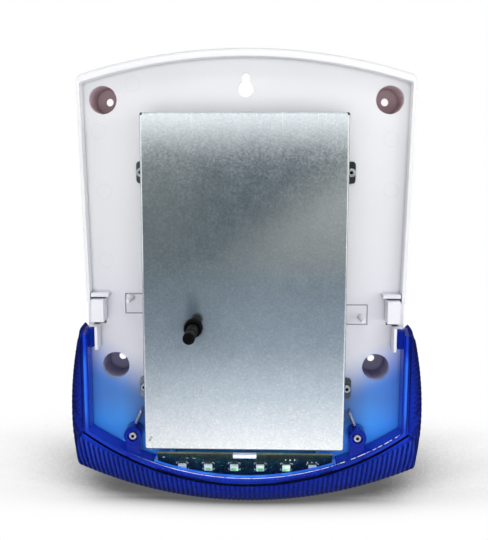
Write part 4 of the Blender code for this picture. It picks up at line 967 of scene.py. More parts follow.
@dataclass(frozen=True)
class Mottled:
    """Plain moulded, painted or rubber finish with uneven tone, gloss and a fine grain."""

    name: str
    base: Colour
    worn: Colour
    rough: Point
    metallic: float = 0.0
    grain: float = 1800.0
    relief: float = 0.08
    gloss: float = 0.5

    def make(self) -> bpy.types.Material:
        """Wire the material.

        Returns:
            The finished material.
        """
        g = Graph(self.name)
        inputs = {
            "Base Color": g.mix(g.noise(220.0, 4.0, 0.6).span(*NOISE_MIDDLE), self.base, self.worn),
            "Metallic": self.metallic,
            "Roughness": g.noise(480.0).span(*NOISE_BODY, *self.rough),
            "Normal": g.bump(g.noise(self.grain), self.relief, 0.0001),
            "Specular IOR Level": self.gloss,
        }
        return g.done(g.surface(inputs))


@dataclass(frozen=True)
class SolderResist:
    """Dark green solder resist with copper tracks showing through it."""

    mask: Colour = tone(0.002, 0.011, 0.010)
    track: Colour = tone(0.003, 0.017, 0.014)
    track_width: Range = (0.03, 0.045, 1.0, 0.0)

    def make(self) -> bpy.types.Material:
        """Wire the material.

        Returns:
            The finished material.
        """
        g = Graph("board_green")
        lanes = g.noise(240.0, 0.0, place=g.stretched((1.0, 0.25, 0.25)))
        tracks = abs(lanes - 0.5).span(*self.track_width)
        colour = g.mix(tracks, self.mask, self.track)
        rough = g.noise(900.0).span(*NOISE_BODY, 0.22, 0.34)
        normal = g.bump(tracks, 0.25, 0.00005)
        return g.done(g.surface({"Base Color": colour, "Roughness": rough, "Normal": normal}))


class Finishes:
    """All materials of the siren, made once."""

    def __init__(self) -> None:
        """Wire every finish."""
        self.white_plastic = WhitePlastic().make()
        self.blue_lens = BluePlastic().make()
        self.zinc_steel = ZincSteel().make()
        self.board_green = SolderResist().make()
        plain = [
            Mottled("screw_steel", tone(0.42, 0.43, 0.44), tone(0.56, 0.57, 0.58), (0.24, 0.36), 1.0),
            Mottled(
                "black_rubber",
                tone(0.002, 0.002, 0.0022),
                tone(0.004, 0.004, 0.0042),
                (0.42, 0.58),
                gloss=0.04,
            ),
            Mottled("switch_plastic", tone(0.030, 0.030, 0.032), tone(0.045, 0.045, 0.046), (0.35, 0.48)),
            Mottled("spring_steel", tone(0.50, 0.50, 0.51), tone(0.62, 0.62, 0.63), (0.22, 0.34), 1.0),
            Mottled("led_white", tone(0.62, 0.72, 0.76), tone(0.72, 0.80, 0.83), (0.30, 0.42)),
            Mottled("led_window", tone(0.20, 0.70, 0.10), tone(0.28, 0.78, 0.14), (0.25, 0.40)),
            Mottled("socket_white", tone(0.62, 0.64, 0.82), tone(0.68, 0.70, 0.86), (0.38, 0.50)),
            Mottled("terminal_green", tone(0.05, 0.30, 0.12), tone(0.07, 0.36, 0.15), (0.38, 0.50)),
            Mottled("battery_wrap", tone(0.05, 0.16, 0.30), tone(0.06, 0.20, 0.36), (0.24, 0.36)),
            Mottled("siren_black", tone(0.028, 0.028, 0.028), tone(0.042, 0.042, 0.042), (0.42, 0.55)),
            Mottled("disc_brass", tone(0.58, 0.43, 0.17), tone(0.68, 0.52, 0.22), (0.26, 0.40), 1.0),
            Mottled("print_white", tone(0.72, 0.74, 0.72), tone(0.82, 0.83, 0.82), (0.50, 0.60)),
            # painted shade for the faces of the lens's groove
            Mottled(
                "groove_navy", tone(0.001, 0.002, 0.012), tone(0.002, 0.003, 0.018), (0.55, 0.70), gloss=0.05
            ),
            # black for the socket legs, and painted shade in the screws' round sockets
            Mottled(
                "socket_black", tone(0.003, 0.003, 0.004), tone(0.006, 0.006, 0.007), (0.55, 0.70), gloss=0.1
            ),
            Mottled("board_edge", tone(0.16, 0.20, 0.15), tone(0.22, 0.26, 0.19), (0.50, 0.62)),
        ]
        for finish in plain:
            setattr(self, finish.name, finish.make())


# Sub-assemblies


@dataclass
class Lens:
    """Blue lens: hollow ribbed U with tongues, screw bosses and a window for the strobe board."""

    finishes: Finishes
    top: float = -0.057
    inner_half: float = 0.0986
    half: float = 0.1038
    back_half: float = 0.117
    inner_bottom: float = -0.1534
    inner_radius: float = 0.175
    groove_bottom: float = -0.1602
    groove_radius: float = 0.172
    back_bottom: float = -0.1816
    back_radius: float = 0.285
    widest_z: float = -0.120
    radius_up: float = 0.215
    radius_down: float = 0.150
    corner_drop: float = 0.0103
    rim_depth: float = 0.0372
    skirt_depth: float = 0.0350
    back_depth: float = 0.002
    rim_width: float = 0.0052
    ridge: float = 0.0013
    groove_width: float = 0.0013
    groove_depth: float = 0.0014
    pitch: float = 0.0031
    rib_height: float = 0.00060
    arm_rib_height: float = 0.00030
    wall: float = 0.002
    per_rib: int = 6
    reed_fullness: float = 0.6
    rows: int = 16
    tip: float = 0.0016
    tip_length: float = 0.006
    tip_fade: float = 0.012
    tip_at: Point = (0.1037, -0.018)
    tip_slopes: Four = (1.37, 0.75, 0.19, 0.36)
    tip_blunt: float = 0.0008
    tip_rings: int = 4
    cap: int = 4
    seat_y: float = -0.0245
    under_depth: float = 0.0322
    crown_at: float = 0.45
    crown: float = 0.0001
    outer_lip: float = 0.0007
    tongue_wall: float = 0.004
    tongue_length: float = 0.012
    tongue_depth: float = 0.0115
    boss: Point = (0.0712, -0.1267)
    boss_width: float = 0.0115
    boss_depth: float = 0.037
    recess: float = 0.0022
    web_width: float = 0.0096
    web_drop: float = 0.0014
    window_half: float = 0.0575
    window_lip: float = 0.0042
    tongue_round: float = 0.0005
    web_round: float = 0.0006
    boss_round: float = 0.0009
    draft: float = 0.0002
    bore: float = 0.0018
    head_bore: float = 0.0034
    bore_ends: Point = (-0.02, -0.05)
    screw_grip: float = 0.0183
    crisp_from: float = 40.0

    def groove_z(self, x: float) -> float:
        """Height of the groove line under x."""
        return self.groove_bottom + arc_drop(self.groove_radius, x)

    def inner_z(self, x: float, outward: float = 0.0) -> float:
        """Height of the inner face under x, or of a line further out."""
        return self.inner_bottom - outward + arc_drop(self.inner_radius + outward, x)

    def back_z(self, x: float) -> float:
        """Height of the lower back edge at x."""
        return self.back_bottom + arc_drop(self.back_radius, x)

    def back_x(self, z: float) -> float:
        """Half width of the back edge at height z.

        Args:
            z: height of the point.

        Returns:
            Its distance from the middle.
        """
        radius = self.radius_up if z > self.widest_z else self.radius_down
        tip = max(0.0, (z - self.top + self.tip_length) / self.tip_length)
        return self.back_half - (z - self.widest_z) ** 2 / (2 * radius) - self.tip * tip * tip

    def depth(self, share: float) -> float:
        """Y at a share of the way from the groove to the back edge."""
        return -(self.skirt_depth + (self.back_depth - self.skirt_depth) * share)

    def tip_drop(self, x: float, y: float, z: float) -> float:
        """How far the arm's pointed top falls away from its point on every side.

        Args:
            x: half width at the point.
            y: depth of the point.
            z: height of its column at the groove.

        Returns:
            The drop in height.
        """
        near = max(0.0, 1 - (self.top - z) / self.tip_fade)
        across = (x - self.tip_at[0]) * self.tip_slopes[0 if x > self.tip_at[0] else 1]
        along = (y - self.tip_at[1]) * self.tip_slopes[2 if y < self.tip_at[1] else 3]
        return near * (math.sqrt(across**2 + along**2 + self.tip_blunt**2) - self.tip_blunt)

    @staticmethod
    def flared(part: float) -> float:
        """Share of the depth at which the skirt has flared out this far."""
        return 1 - math.sqrt(max(0.0, 1 - part))

    def arm_share(self, x: float, z: float) -> float:
        """Depth share of the arm's flank at (x, z)."""
        return self.flared((x - self.half) / (self.back_x(z) - self.half))

    def band_share(self, x: float, z: float) -> float:
        """Depth share of the lower band at (x, z)."""
        top = self.groove_z(x)
        return self.flared((top - z) / (top - self.back_z(x)))

    def reed(self, k: int, height: float) -> float:
        """Rise of a rounded reed at column k, with a narrow valley between reeds."""
        return height * abs(math.sin(math.pi * k / self.per_rib)) ** self.reed_fullness

    def drawn_in(self, point: Vector, out: Vector) -> Vector:
        """Point of the inner skin behind a point of the plain outer skin.

        Args:
            point: point of the plain outer skin.
            out: outward direction there.

        Returns:
            The point of the inner skin.
        """
        inner = point - out * self.wall
        inner.y = max(inner.y, -self.under_depth)
        return inner

    def arm_column(
        self, k: int, count: int, rows: int, rib: float
    ) -> tuple[list[Vector], list[Vector], list[Vector]]:
        """One line across the arm's flank, from the groove to the back edge.

        Args:
            k: number of the line from the tip.
            count: number of the last line.
            rows: steps along the line.
            rib: rise of the reed on this line.

        Returns:
            Points of the outer skin, of the inner skin, and the outward directions.
        """
        share = k / count
        groove_z = self.top + (self.groove_z(self.half) - self.top) * share
        drop = -self.corner_drop * share**3
        back_x = self.back_x(groove_z + drop)
        depth = self.skirt_depth - self.back_depth
        outer, inner, outs = [], [], []
        for row in range(rows + 1):
            x = self.half + (back_x - self.half) * row / rows
            z = groove_z + drop * row / rows
            at = self.arm_share(x, z) if row < rows else 1.0
            out = Vector((depth, -2 * (back_x - self.half) * (1 - at), 0.0)).normalized()
            y = self.depth(at)
            plain = Vector((x, y, z - self.tip_drop(x, y, groove_z)))
            outer.append(plain + out * (rib if row else 0.0))
            inner.append(self.drawn_in(plain, out))
            outs.append(out)
        return outer, inner, outs

    def band_column(
        self, start: Vector, end_z: float, rib: float, turn: float = 0.0, arm_out: Vector | None = None
    ) -> tuple[list[Vector], list[Vector]]:
        """One upright line down the lower band.

        Args:
            start: its top point.
            end_z: height of the back edge under it.
            rib: rise of the reed on this line.
            turn: share of the arm's outward direction, used round the corner.
            arm_out: the arm's outward direction at the start.

        Returns:
            Points of the outer skin and of the inner skin.
        """
        depth = self.skirt_depth - self.back_depth
        fall = self.groove_z(start.x) - self.back_z(start.x)
        outer, inner = [start], [start]
        for row in range(1, self.rows + 1):
            z = start.z + (end_z - start.z) * (1 - (1 - row / self.rows) ** 2)
            at = self.band_share(start.x, z)
            if start.x > self.half:
                at = max(at, self.arm_share(start.x, z))
            if row == self.rows or start.z - end_z < MERGE:
                at = 1.0
            out = Vector((0.0, -2 * fall * (1 - at), -depth)).normalized()
            plain = Vector((start.x, self.depth(at), z))
            outer.append(plain + out * rib)
            if arm_out is not None:
                out = out.lerp(arm_out, turn).normalized()
            inner.append(self.drawn_in(plain, out))
        return outer, inner

    def rim_column(self, inner: Point, groove: Point, section: list[Point]) -> list[Vector]:
        """Points across the front rim.

        Args:
            inner: (x, z) of the inner face.
            groove: (x, z) of the groove line.
            section: (distance from the inner face, y) points.

        Returns:
            The rim's points on this line.
        """
        points = []
        for distance, y in section:
            share = distance / self.rim_width
            x = inner[0] + (groove[0] - inner[0]) * share
            z = inner[1] + (groove[1] - inner[1]) * share
            points.append(Vector((x, y, z - self.tip_drop(x, y, z))))
        return points

    def rim_section(self, foot_y: float) -> list[Point]:
        """Section of the front rim: rounded inner corner, crowned face and dark groove.

        Args:
            foot_y: where the inner wall ends.

        Returns:
            (distance from the inner face, y) points of the outer skin.
        """
        inside = self.rim_width - self.groove_width
        floor = -(self.skirt_depth - self.groove_depth)
        line = [
            (0.0, foot_y),
            (0.0, -self.rim_depth),
            (self.rim_width * self.crown_at, -self.rim_depth - self.crown),
            (inside, -(self.skirt_depth + self.outer_lip)),
            (inside, floor),
        ]
        return fillet(line, self.ridge, 5) + [(self.rim_width, floor), (self.rim_width, -self.skirt_depth)]

    def under_section(self, foot_y: float) -> list[Point]:
        """Section of the rim's hollow side, from the skirt to the inner wall's foot.

        Args:
            foot_y: where the inner wall ends.

        Returns:
            (distance from the inner face, y) points.
        """
        return [
            (self.rim_width - self.wall / 2, -self.under_depth),
            (self.wall, -self.under_depth),
            (self.wall, foot_y),
        ]

    @staticmethod
    def add_grid(bm: bmesh.types.BMesh, columns: list[list[Vector]], dark: range | None = None) -> None:
        """Quads between neighbouring columns, which close on themselves where a dark range is given.

        Args:
            bm: mesh that gets the quads.
            columns: columns of points, all of one length.
            dark: rows of quads in the groove, which take the second material, a painted shade.
        """
        verts = [[bm.verts.new(point) for point in column] for column in columns]
        for near, far in zip(verts, verts[1:]):
            for i in range(len(near) - (1 if dark is None else 0)):
                j = (i + 1) % len(near)
                quad = bm.faces.new((near[i], near[j], far[j], far[i]))
                quad.material_index = 1 if dark and i in dark else 0

    def close_tip(self, bm: bmesh.types.BMesh, rings: list[list[Vector]], hollow: list[Vector]) -> None:
        """Solid end of an arm: its outer skin, the pointed top and the wall that ends the hollow.

        Args:
            bm: mesh that gets the faces.
            rings: outer skins of the first lines, from the tip.
            hollow: outline of the hollow on the last of these lines.
        """
        point = Vector((self.tip_at[0], self.tip_at[1], self.top))
        loops = []
        for step in range(1, self.tip_rings):
            share = step / self.tip_rings
            loop = [point.lerp(corner, share) for corner in rings[0]]
            for corner in loop:
                corner.z = self.top - self.tip_drop(corner.x, corner.y, self.top)
            loops.append(loop)
        verts = [[bm.verts.new(corner) for corner in loop] for loop in loops + rings]
        crown = bm.verts.new(point)
        count = len(verts[0])
        for i in range(count):
            bm.faces.new((crown, verts[0][i], verts[0][(i + 1) % count]))
        for near, far in zip(verts, verts[1:]):
            for i in range(count - (1 if far is verts[-1] else 0)):
                j = (i + 1) % count
                bm.faces.new((near[i], near[j], far[j], far[i]))
        wall = [bm.verts.new(corner) for corner in hollow]
        bm.faces.new((verts[-2][-1], verts[-2][0], verts[-1][0], wall[-1], wall[0], verts[-1][-1]))
        end = bm.faces.new(wall)
        bmesh.ops.triangulate(bm, faces=[end], ngon_method="EAR_CLIP")

    def shell(self) -> bmesh.types.BMesh:
        """Hollow U: front rim, reeded flanks and lower band, open at the back.

        Returns:
            A closed mesh of the lens's wall.
        """
        per_rib = self.per_rib
        corner_z = self.groove_z(self.half)
        inner_corner_z = self.inner_z(self.inner_half)
        arm_count = per_rib * round((self.top - corner_z) / self.pitch)
        band_count = per_rib * round(self.half / self.pitch)
        end_x = self.back_x(corner_z - self.corner_drop)
        corner_count = per_rib * max(1, round((end_x - self.half) / self.pitch))
        section, under = self.rim_section(self.seat_y), self.under_section(self.seat_y)
        groove_rows = range(len(section) - 4, len(section) - 1)
        bm = bmesh.new()

        columns, rings = [], []
        for k in range(arm_count + 1):
            rib = self.reed(k, self.arm_rib_height) if 0 < k < arm_count else 0.0
            arm, arm_inner, outs = self.arm_column(k, arm_count, corner_count, rib)
            share = k / arm_count
            inner = (self.inner_half, self.top + (inner_corner_z - self.top) * share)
            groove = (self.half, self.top + (corner_z - self.top) * share)
            below = self.rim_column(inner, groove, under)
            face = self.rim_column(inner, groove, section) + arm[1:]
            if k <= self.cap:
                rings.append(face)
            if k == self.cap:
                self.close_tip(bm, rings, arm_inner[:0:-1] + below)
            if k >= self.cap:
                columns.append(face + arm_inner[:0:-1] + below)
        self.add_grid(bm, columns, range(0))
        arm_inner[0] = below[0]

        columns = []
        for j in range(corner_count, -1, -1):
            start = arm[j]
            room = 2 * self.radius_down * max(0.0, self.back_half - start.x)
            stop_z = min(start.z, max(self.widest_z - math.sqrt(room), self.back_z(start.x)))
            rib = self.reed(j, self.rib_height)
            outer, inner = self.band_column(start, stop_z, rib, j / corner_count, outs[j])
            columns.append(outer + inner[:0:-1] + [arm_inner[j]])
        self.add_grid(bm, columns)

        columns = []
        for k in range(band_count, -1, -1):
            x = self.half * k / band_count
            inner_x = self.inner_half * k / band_count
            inner = (inner_x, self.inner_z(inner_x))
            groove = (x, self.groove_z(x))
            foot_y = self.seat_y if inner_x > self.window_half else self.window_lip - self.rim_depth
            start = Vector((x, self.depth(0.0), groove[1]))
            outer, hollow = self.band_column(start, self.back_z(x), self.reed(k, self.rib_height))
            rim = self.rim_column(inner, groove, self.rim_section(foot_y))
            below = self.rim_column(inner, groove, self.under_section(foot_y))
            columns.append(rim + outer[1:] + hollow[:0:-1] + below)
        self.add_grid(bm, columns, groove_rows)

        bmesh.ops.mirror(bm, geom=bm.verts[:] + bm.edges[:] + bm.faces[:], axis="X", merge_dist=MERGE)
        bmesh.ops.remove_doubles(bm, verts=bm.verts[:], dist=MERGE)
        bmesh.ops.dissolve_degenerate(bm, dist=MERGE, edges=bm.edges[:])
        return bm

    def build_tongue(self, side: Side) -> None:
        """Tongue that slips under the tray's ledge.

        Args:
            side: which arm carries it.
        """
        xs = sorted((side.value * (self.inner_half - self.tongue_wall), side.value * (self.inner_half + GAP)))
        low = (xs[0], FLOOR_Y - self.tongue_depth, self.top - self.tongue_length)
        bm = bmesh.new()
        add_box(bm, low, (xs[1], self.seat_y, self.top - GAP), self.tongue_round, 3)
        piece = soften(make_piece(f"lens_tongue_{side.name.lower()}", bm, self.finishes.blue_lens))
        seat(piece, Body.HOUSING, Slot.BLUE_LENS)

    def build_boss(self, side: Side) -> None:
        """Screw boss with its sunk seat and the web that ties it to the rim.

        Args:
            side: which boss to build.
        """
        x, z = side.value * self.boss[0], self.boss[1]
        half = self.boss_width / 2
        web = bmesh.new()
        reach = self.web_width / 2
        foot = self.inner_z(self.boss[0] - reach) - self.wall / 4
        low = (x - reach, -(self.rim_depth - self.web_drop), foot)
        add_box(web, low, (x + reach, self.seat_y - GAP, z), self.web_round, 3)
        pillar = bmesh.new()
        back, front = self.seat_y, -self.boss_depth
        line = [(0.0, back), (half + self.draft, back), (half, front), (0.0, front)]
        add_lathe(pillar, fillet(line, self.boss_round), x, z, FACETS_FINE)
        back, front = self.bore_ends
        floor = -(self.boss_depth - self.recess)
        line = [
            (0.0, back),
            (self.bore, back),
            (self.bore, floor),
            (self.head_bore, floor),
            (self.head_bore + self.draft, front),
            (0.0, front),
        ]
        bore = bmesh.new()
        add_lathe(bore, line, x, z)
        piece = make_piece(f"lens_boss_{side.name.lower()}", pillar, self.finishes.blue_lens)
        cut(piece, [web], Cut.ADD)
        cut(piece, [bore], Cut.REMOVE)
        soften(piece, self.crisp_from)
        seat(piece, Body.HOUSING, Slot.BLUE_LENS)

    def build(self) -> None:
        """Build and dress the lens with its tongues, bosses and screws."""
        # the groove faces take a painted shade
        lens = make_piece("lens_ribbed", self.shell(), self.finishes.blue_lens, self.finishes.groove_navy)
        soften(lens, self.crisp_from)
        for side in Side:
            self.build_tongue(side)
            self.build_boss(side)
            name = side.name.lower()
            place = (side.value * self.boss[0], self.boss[1], -(self.boss_depth - self.recess))
            Screw(self.finishes, f"boss_screw_{name}", f"lens_screw_{name}", *place, self.screw_grip).build()
        seat(lens, Body.HOUSING, Slot.BLUE_LENS, "lens")


@dataclass
class Screw:
    """Pan-head screw with a small round socket."""

    finishes: Finishes
    name: str
    node: str
    x: float
    z: float
    seat_y: float
    grip: float
    head: float = 0.0056
    height: float = 0.0021
    socket: float = 0.0020
    socket_depth: float = 0.0012
    flat: float = 0.72
    shoulder: float = 0.0010
    edge_round: float = 0.0004
    shank: float = 0.003
    thread_pitch: float = 0.0006
    thread_half: float = 0.00015
    thread_depth: float = 0.00025
    point: float = 0.0006

    def build(self) -> None:
        """Turn the screw and dress it."""
        y = self.seat_y - GAP
        face = y - self.height
        half = self.head / 2
        head = [
            (0.0, face + self.socket_depth),
            (self.socket / 2, face + self.socket_depth),
            (self.socket / 2, face),
            (half * self.flat, face),
            (half, face + self.shoulder),
            (half, y),
            (self.shank / 2, y),
        ]
        profile = fillet(head, self.edge_round, 3)
        turns = int(self.grip / self.thread_pitch)
        for turn in range(turns):
            at = y + self.grip * (turn + 0.5) / turns
            profile.append((self.shank / 2, at - self.thread_half))
            profile.append((self.shank / 2 - self.thread_depth, at))
        profile += [(self.shank / 2 - self.point, y + self.grip), (0.0, y + self.grip)]
        bm = bmesh.new()
        add_lathe(bm, profile, self.x, self.z, FACETS_SCREW)
        # faces inside the round socket take the painted shade
        for facet in bm.faces:
            middle = facet.calc_center_median()
            inside = math.hypot(middle.x - self.x, middle.z - self.z) < self.socket / 2 + MERGE
            facet.material_index = 1 if inside and middle.y < y else 0
        piece = soften(make_piece(self.name, bm, self.finishes.screw_steel, self.finishes.socket_black))
        seat(piece, Body.HOUSING, Slot.SCREW_STEEL, self.node)


@dataclass
class SteelCover:
    """Folded zinc-coated box over the siren's works, with its tabs, holes and sound slots."""

    finishes: Finishes
    half: float = 0.0609
    top: float = 0.0748
    bottom: float = -0.1286
    depth: float = 0.054
    sheet: float = 0.001
    bend: float = 0.0017
    bend_steps: int = 8
    seat_y: float = -0.0243
    tab_width: float = 0.0068
    tab_height: float = 0.0135
    tab_corner: float = 0.0024
    tab_heights: Point = (0.0396, -0.0975)
    tab_screw_x: float = 0.0649
    tamper: Point = (-0.0304, -0.0523)
    tamper_hole: float = 0.0048
    relief: float = 0.0008
    relief_inset: float = 0.0011
    slots: int = 7
    slot_pitch: float = 0.010
    slot_half: Point = (0.0015, 0.007)
    tab_hole: float = 0.0018
    pierced: Point = (-0.02, -0.09)
    screw_grip: float = 0.0075
    crisp_from: float = 3.0

    def shell(self) -> bmesh.types.BMesh:
        """Folded sheet with rounded bends, open at the back.

        Returns:
            The open sheet, without its thickness.
        """
        bm = bmesh.new()
        add_box(bm, (-self.half, -self.depth, self.bottom), (self.half, self.seat_y, self.top))
        back = [face for face in bm.faces if face.calc_center_median().y > self.seat_y - MERGE]
        bmesh.ops.delete(bm, geom=back, context="FACES")
        bends = [edge for edge in bm.edges if len(edge.link_faces) == 2]
        bmesh.ops.bevel(
            bm, geom=bends, offset=self.bend, segments=self.bend_steps, profile=0.5, affect="EDGES"
        )
        bmesh.ops.recalc_face_normals(bm, faces=bm.faces[:])
        return bm

    def tabs(self) -> list[bmesh.types.BMesh]:
        """Fixing tabs that stand out at the sheet's back edge.

        Returns:
            One closed body for each tab.
        """
        tools = []
        for side in Side:
            for z in self.tab_heights:
                inner = self.half - self.sheet / 2
                outer = self.half + self.tab_width
                half = self.tab_height / 2
                outline = [(inner, z - half), (outer, z - half), (outer, z + half), (inner, z + half)]
                outline = [outline[0]] + fillet(outline, self.tab_corner, 5)[1:-1] + [outline[3]]
                bm = bmesh.new()
                rows = (self.seat_y, self.seat_y - self.sheet)
                add_loft(bm, [[(side.value * x, y, v) for x, v in outline] for y in rows])
                tools.append(bm)
        return tools

    def openings(self) -> list[bmesh.types.BMesh]:
        """Tab holes, plunger hole, corner reliefs and the sound slots in the lower wall.

        Returns:
            One closed body for each hole and slot.
        """
        tools = []
        rods = [(*self.tamper, self.tamper_hole, FACETS)]
        for side in Side:
            x = side.value * (self.half - self.relief_inset)
            rods.append((x, self.top - self.relief_inset, self.relief, FACETS_RELIEF))
            x = side.value * self.tab_screw_x
            rods += [(x, z, self.tab_hole, FACETS_HOLE) for z in self.tab_heights]
        back, front = self.pierced
        for x, z, radius, steps in rods:
            bm = bmesh.new()
            add_lathe(bm, [(0.0, back), (radius, back), (radius, front), (0.0, front)], x, z, steps)
            tools.append(bm)
        middle = (self.seat_y - self.depth) / 2
        wide, long = self.slot_half
        for step in range(self.slots):
            x = (step - (self.slots - 1) / 2) * self.slot_pitch
            bm = bmesh.new()
            low = (x - wide, middle - long, self.bottom - self.sheet)
            add_box(bm, low, (x + wide, middle + long, self.bottom + 2 * self.sheet))
            tools.append(bm)
        return tools

    def build(self) -> None:
        """Fold, pierce and dress the cover and its screws."""
        cover = make_piece("cover_sheet", self.shell(), self.finishes.zinc_steel)
        wall = cover.modifiers.new("sheet", "SOLIDIFY")
        wall.thickness = self.sheet
        wall.offset = -1.0
        wall.use_even_offset = True
        cut(cover, self.tabs(), Cut.ADD)
        cut(cover, self.openings(), Cut.REMOVE)
        soften(cover, self.crisp_from)
        for side in Side:
            for row, z in zip(("upper", "lower"), self.tab_heights):
                corner = f"{row}_{side.name.lower()}"
                x = side.value * self.tab_screw_x
                place = (x, z, self.seat_y - self.sheet)
                names = (f"tab_screw_{corner}", f"cover_screw_{corner}")
                Screw(self.finishes, *names, *place, self.screw_grip).build()
        seat(cover, Body.HOUSING, Slot.ZINC_STEEL, "steel_cover")


@dataclass
class Tamper:
    """Sprung tamper plunger in its rubber grommet."""

    finishes: Finishes
    x: float = -0.0304
    z: float = -0.0523
    rod: float = 0.0035
    tip_y: float = -0.083
    collar: float = 0.0046
    collar_front: float = -0.0512
    collar_back: float = -0.0492
    stem: float = 0.0022
    stem_end: float = -0.0375
    flange: float = 0.0056
    neck: float = 0.0045
    cover_front: float = -0.0543
    cover_back: float = -0.0527
    flange_front: float = -0.0573
    flange_back: float = -0.0515
    switch_front: float = -0.0391
    wire: float = 0.0004
    turns: int = 4
    coil_radius: float = 0.0034
    coil_steps: int = 28
    coil_ease: float = 0.06
    coil_crisp: float = 60.0
    wire_sides: int = 10
    pressed: float = 0.385
    crown: float = 0.0009
    ring_rows: Four = (0.0085, 0.0090, 0.0102, 0.0107)
    ring_depth: float = 0.00035
    flange_taper: Point = (0.0006, 0.0012)
    edge_round: float = 0.0004

    def build_plunger(self) -> None:
        """Turn the plunger with its moulded ring and rounded crown."""
        ring = [self.tip_y + row for row in self.ring_rows]
        line = [
            (0.0, self.tip_y),
            (self.rod - self.crown, self.tip_y),
            (self.rod, self.tip_y + self.crown),
            (self.rod, ring[0]),
            (self.rod - self.ring_depth, ring[1]),
            (self.rod - self.ring_depth, ring[2]),
            (self.rod, ring[3]),
            (self.rod, self.collar_front),
            (self.collar, self.collar_front),
            (self.collar, self.collar_back),
            (self.stem, self.collar_back),
            (self.stem, self.stem_end),
            (0.0, self.stem_end),
        ]
        bm = bmesh.new()
        add_lathe(bm, fillet(line, self.edge_round, 3), self.x, self.z, FACETS_FINE)
        piece = soften(make_piece("plunger_pin", bm, self.finishes.black_rubber))
        seat(piece, Body.PLUNGER, Slot.BLACK_RUBBER, "tamper_plunger")

    def build_grommet(self) -> None:
        """Turn the grommet with a rounded flange on both sides of the sheet."""
        bore = self.rod + GAP
        line = [
            (self.flange - self.flange_taper[0], self.flange_front),
            (self.flange, self.flange_front + self.flange_taper[1]),
            (self.flange, self.cover_front),
            (self.neck, self.cover_front),
            (self.neck, self.cover_back),
            (self.flange, self.cover_back),
            (self.flange, self.flange_back),
            (bore, self.flange_back),
            (bore, self.flange_front),
        ]
        bm = bmesh.new()
        add_lathe(bm, fillet(line, self.edge_round, 3, True), self.x, self.z, FACETS_FINE, True)
        piece = soften(make_piece("grommet_ring", bm, self.finishes.black_rubber))
        seat(piece, Body.HOUSING, Slot.BLACK_RUBBER, "tamper_grommet")

    def build_spring(self) -> None:
        """Wind the return spring between the switch and the plunger's collar."""
        start = self.switch_front - GAP - self.wire
        end = self.collar_back + GAP + self.wire
        count = self.coil_steps * self.turns
        along = Vector((0, 1, 0))
        rings = []
        for i in range(count + 1):
            share = i / count
            lead = share - math.sin(2 * math.pi * share) * self.coil_ease
            turn = 2 * math.pi * self.turns * share
            out = Vector((math.cos(turn), 0.0, math.sin(turn)))
            centre = Vector((self.x, start + (end - start) * lead, self.z)) + out * self.coil_radius
            ring = []
            for k in range(self.wire_sides):
                angle = 2 * math.pi * k / self.wire_sides
                ring.append(tuple(centre + (out * math.cos(angle) + along * math.sin(angle)) * self.wire))
            rings.append(ring)
        bm = bmesh.new()
        add_loft(bm, rings)
        piece = soften(make_piece("spring_coil", bm, self.finishes.spring_steel), self.coil_crisp)
        seat(piece, Body.HOUSING, Slot.SPRING_STEEL, "tamper_spring")
        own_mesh(piece)

    def build(self) -> None:
        """Build the plunger, its grommet and its spring."""
        self.build_plunger()
        self.build_grommet()
        self.build_spring()


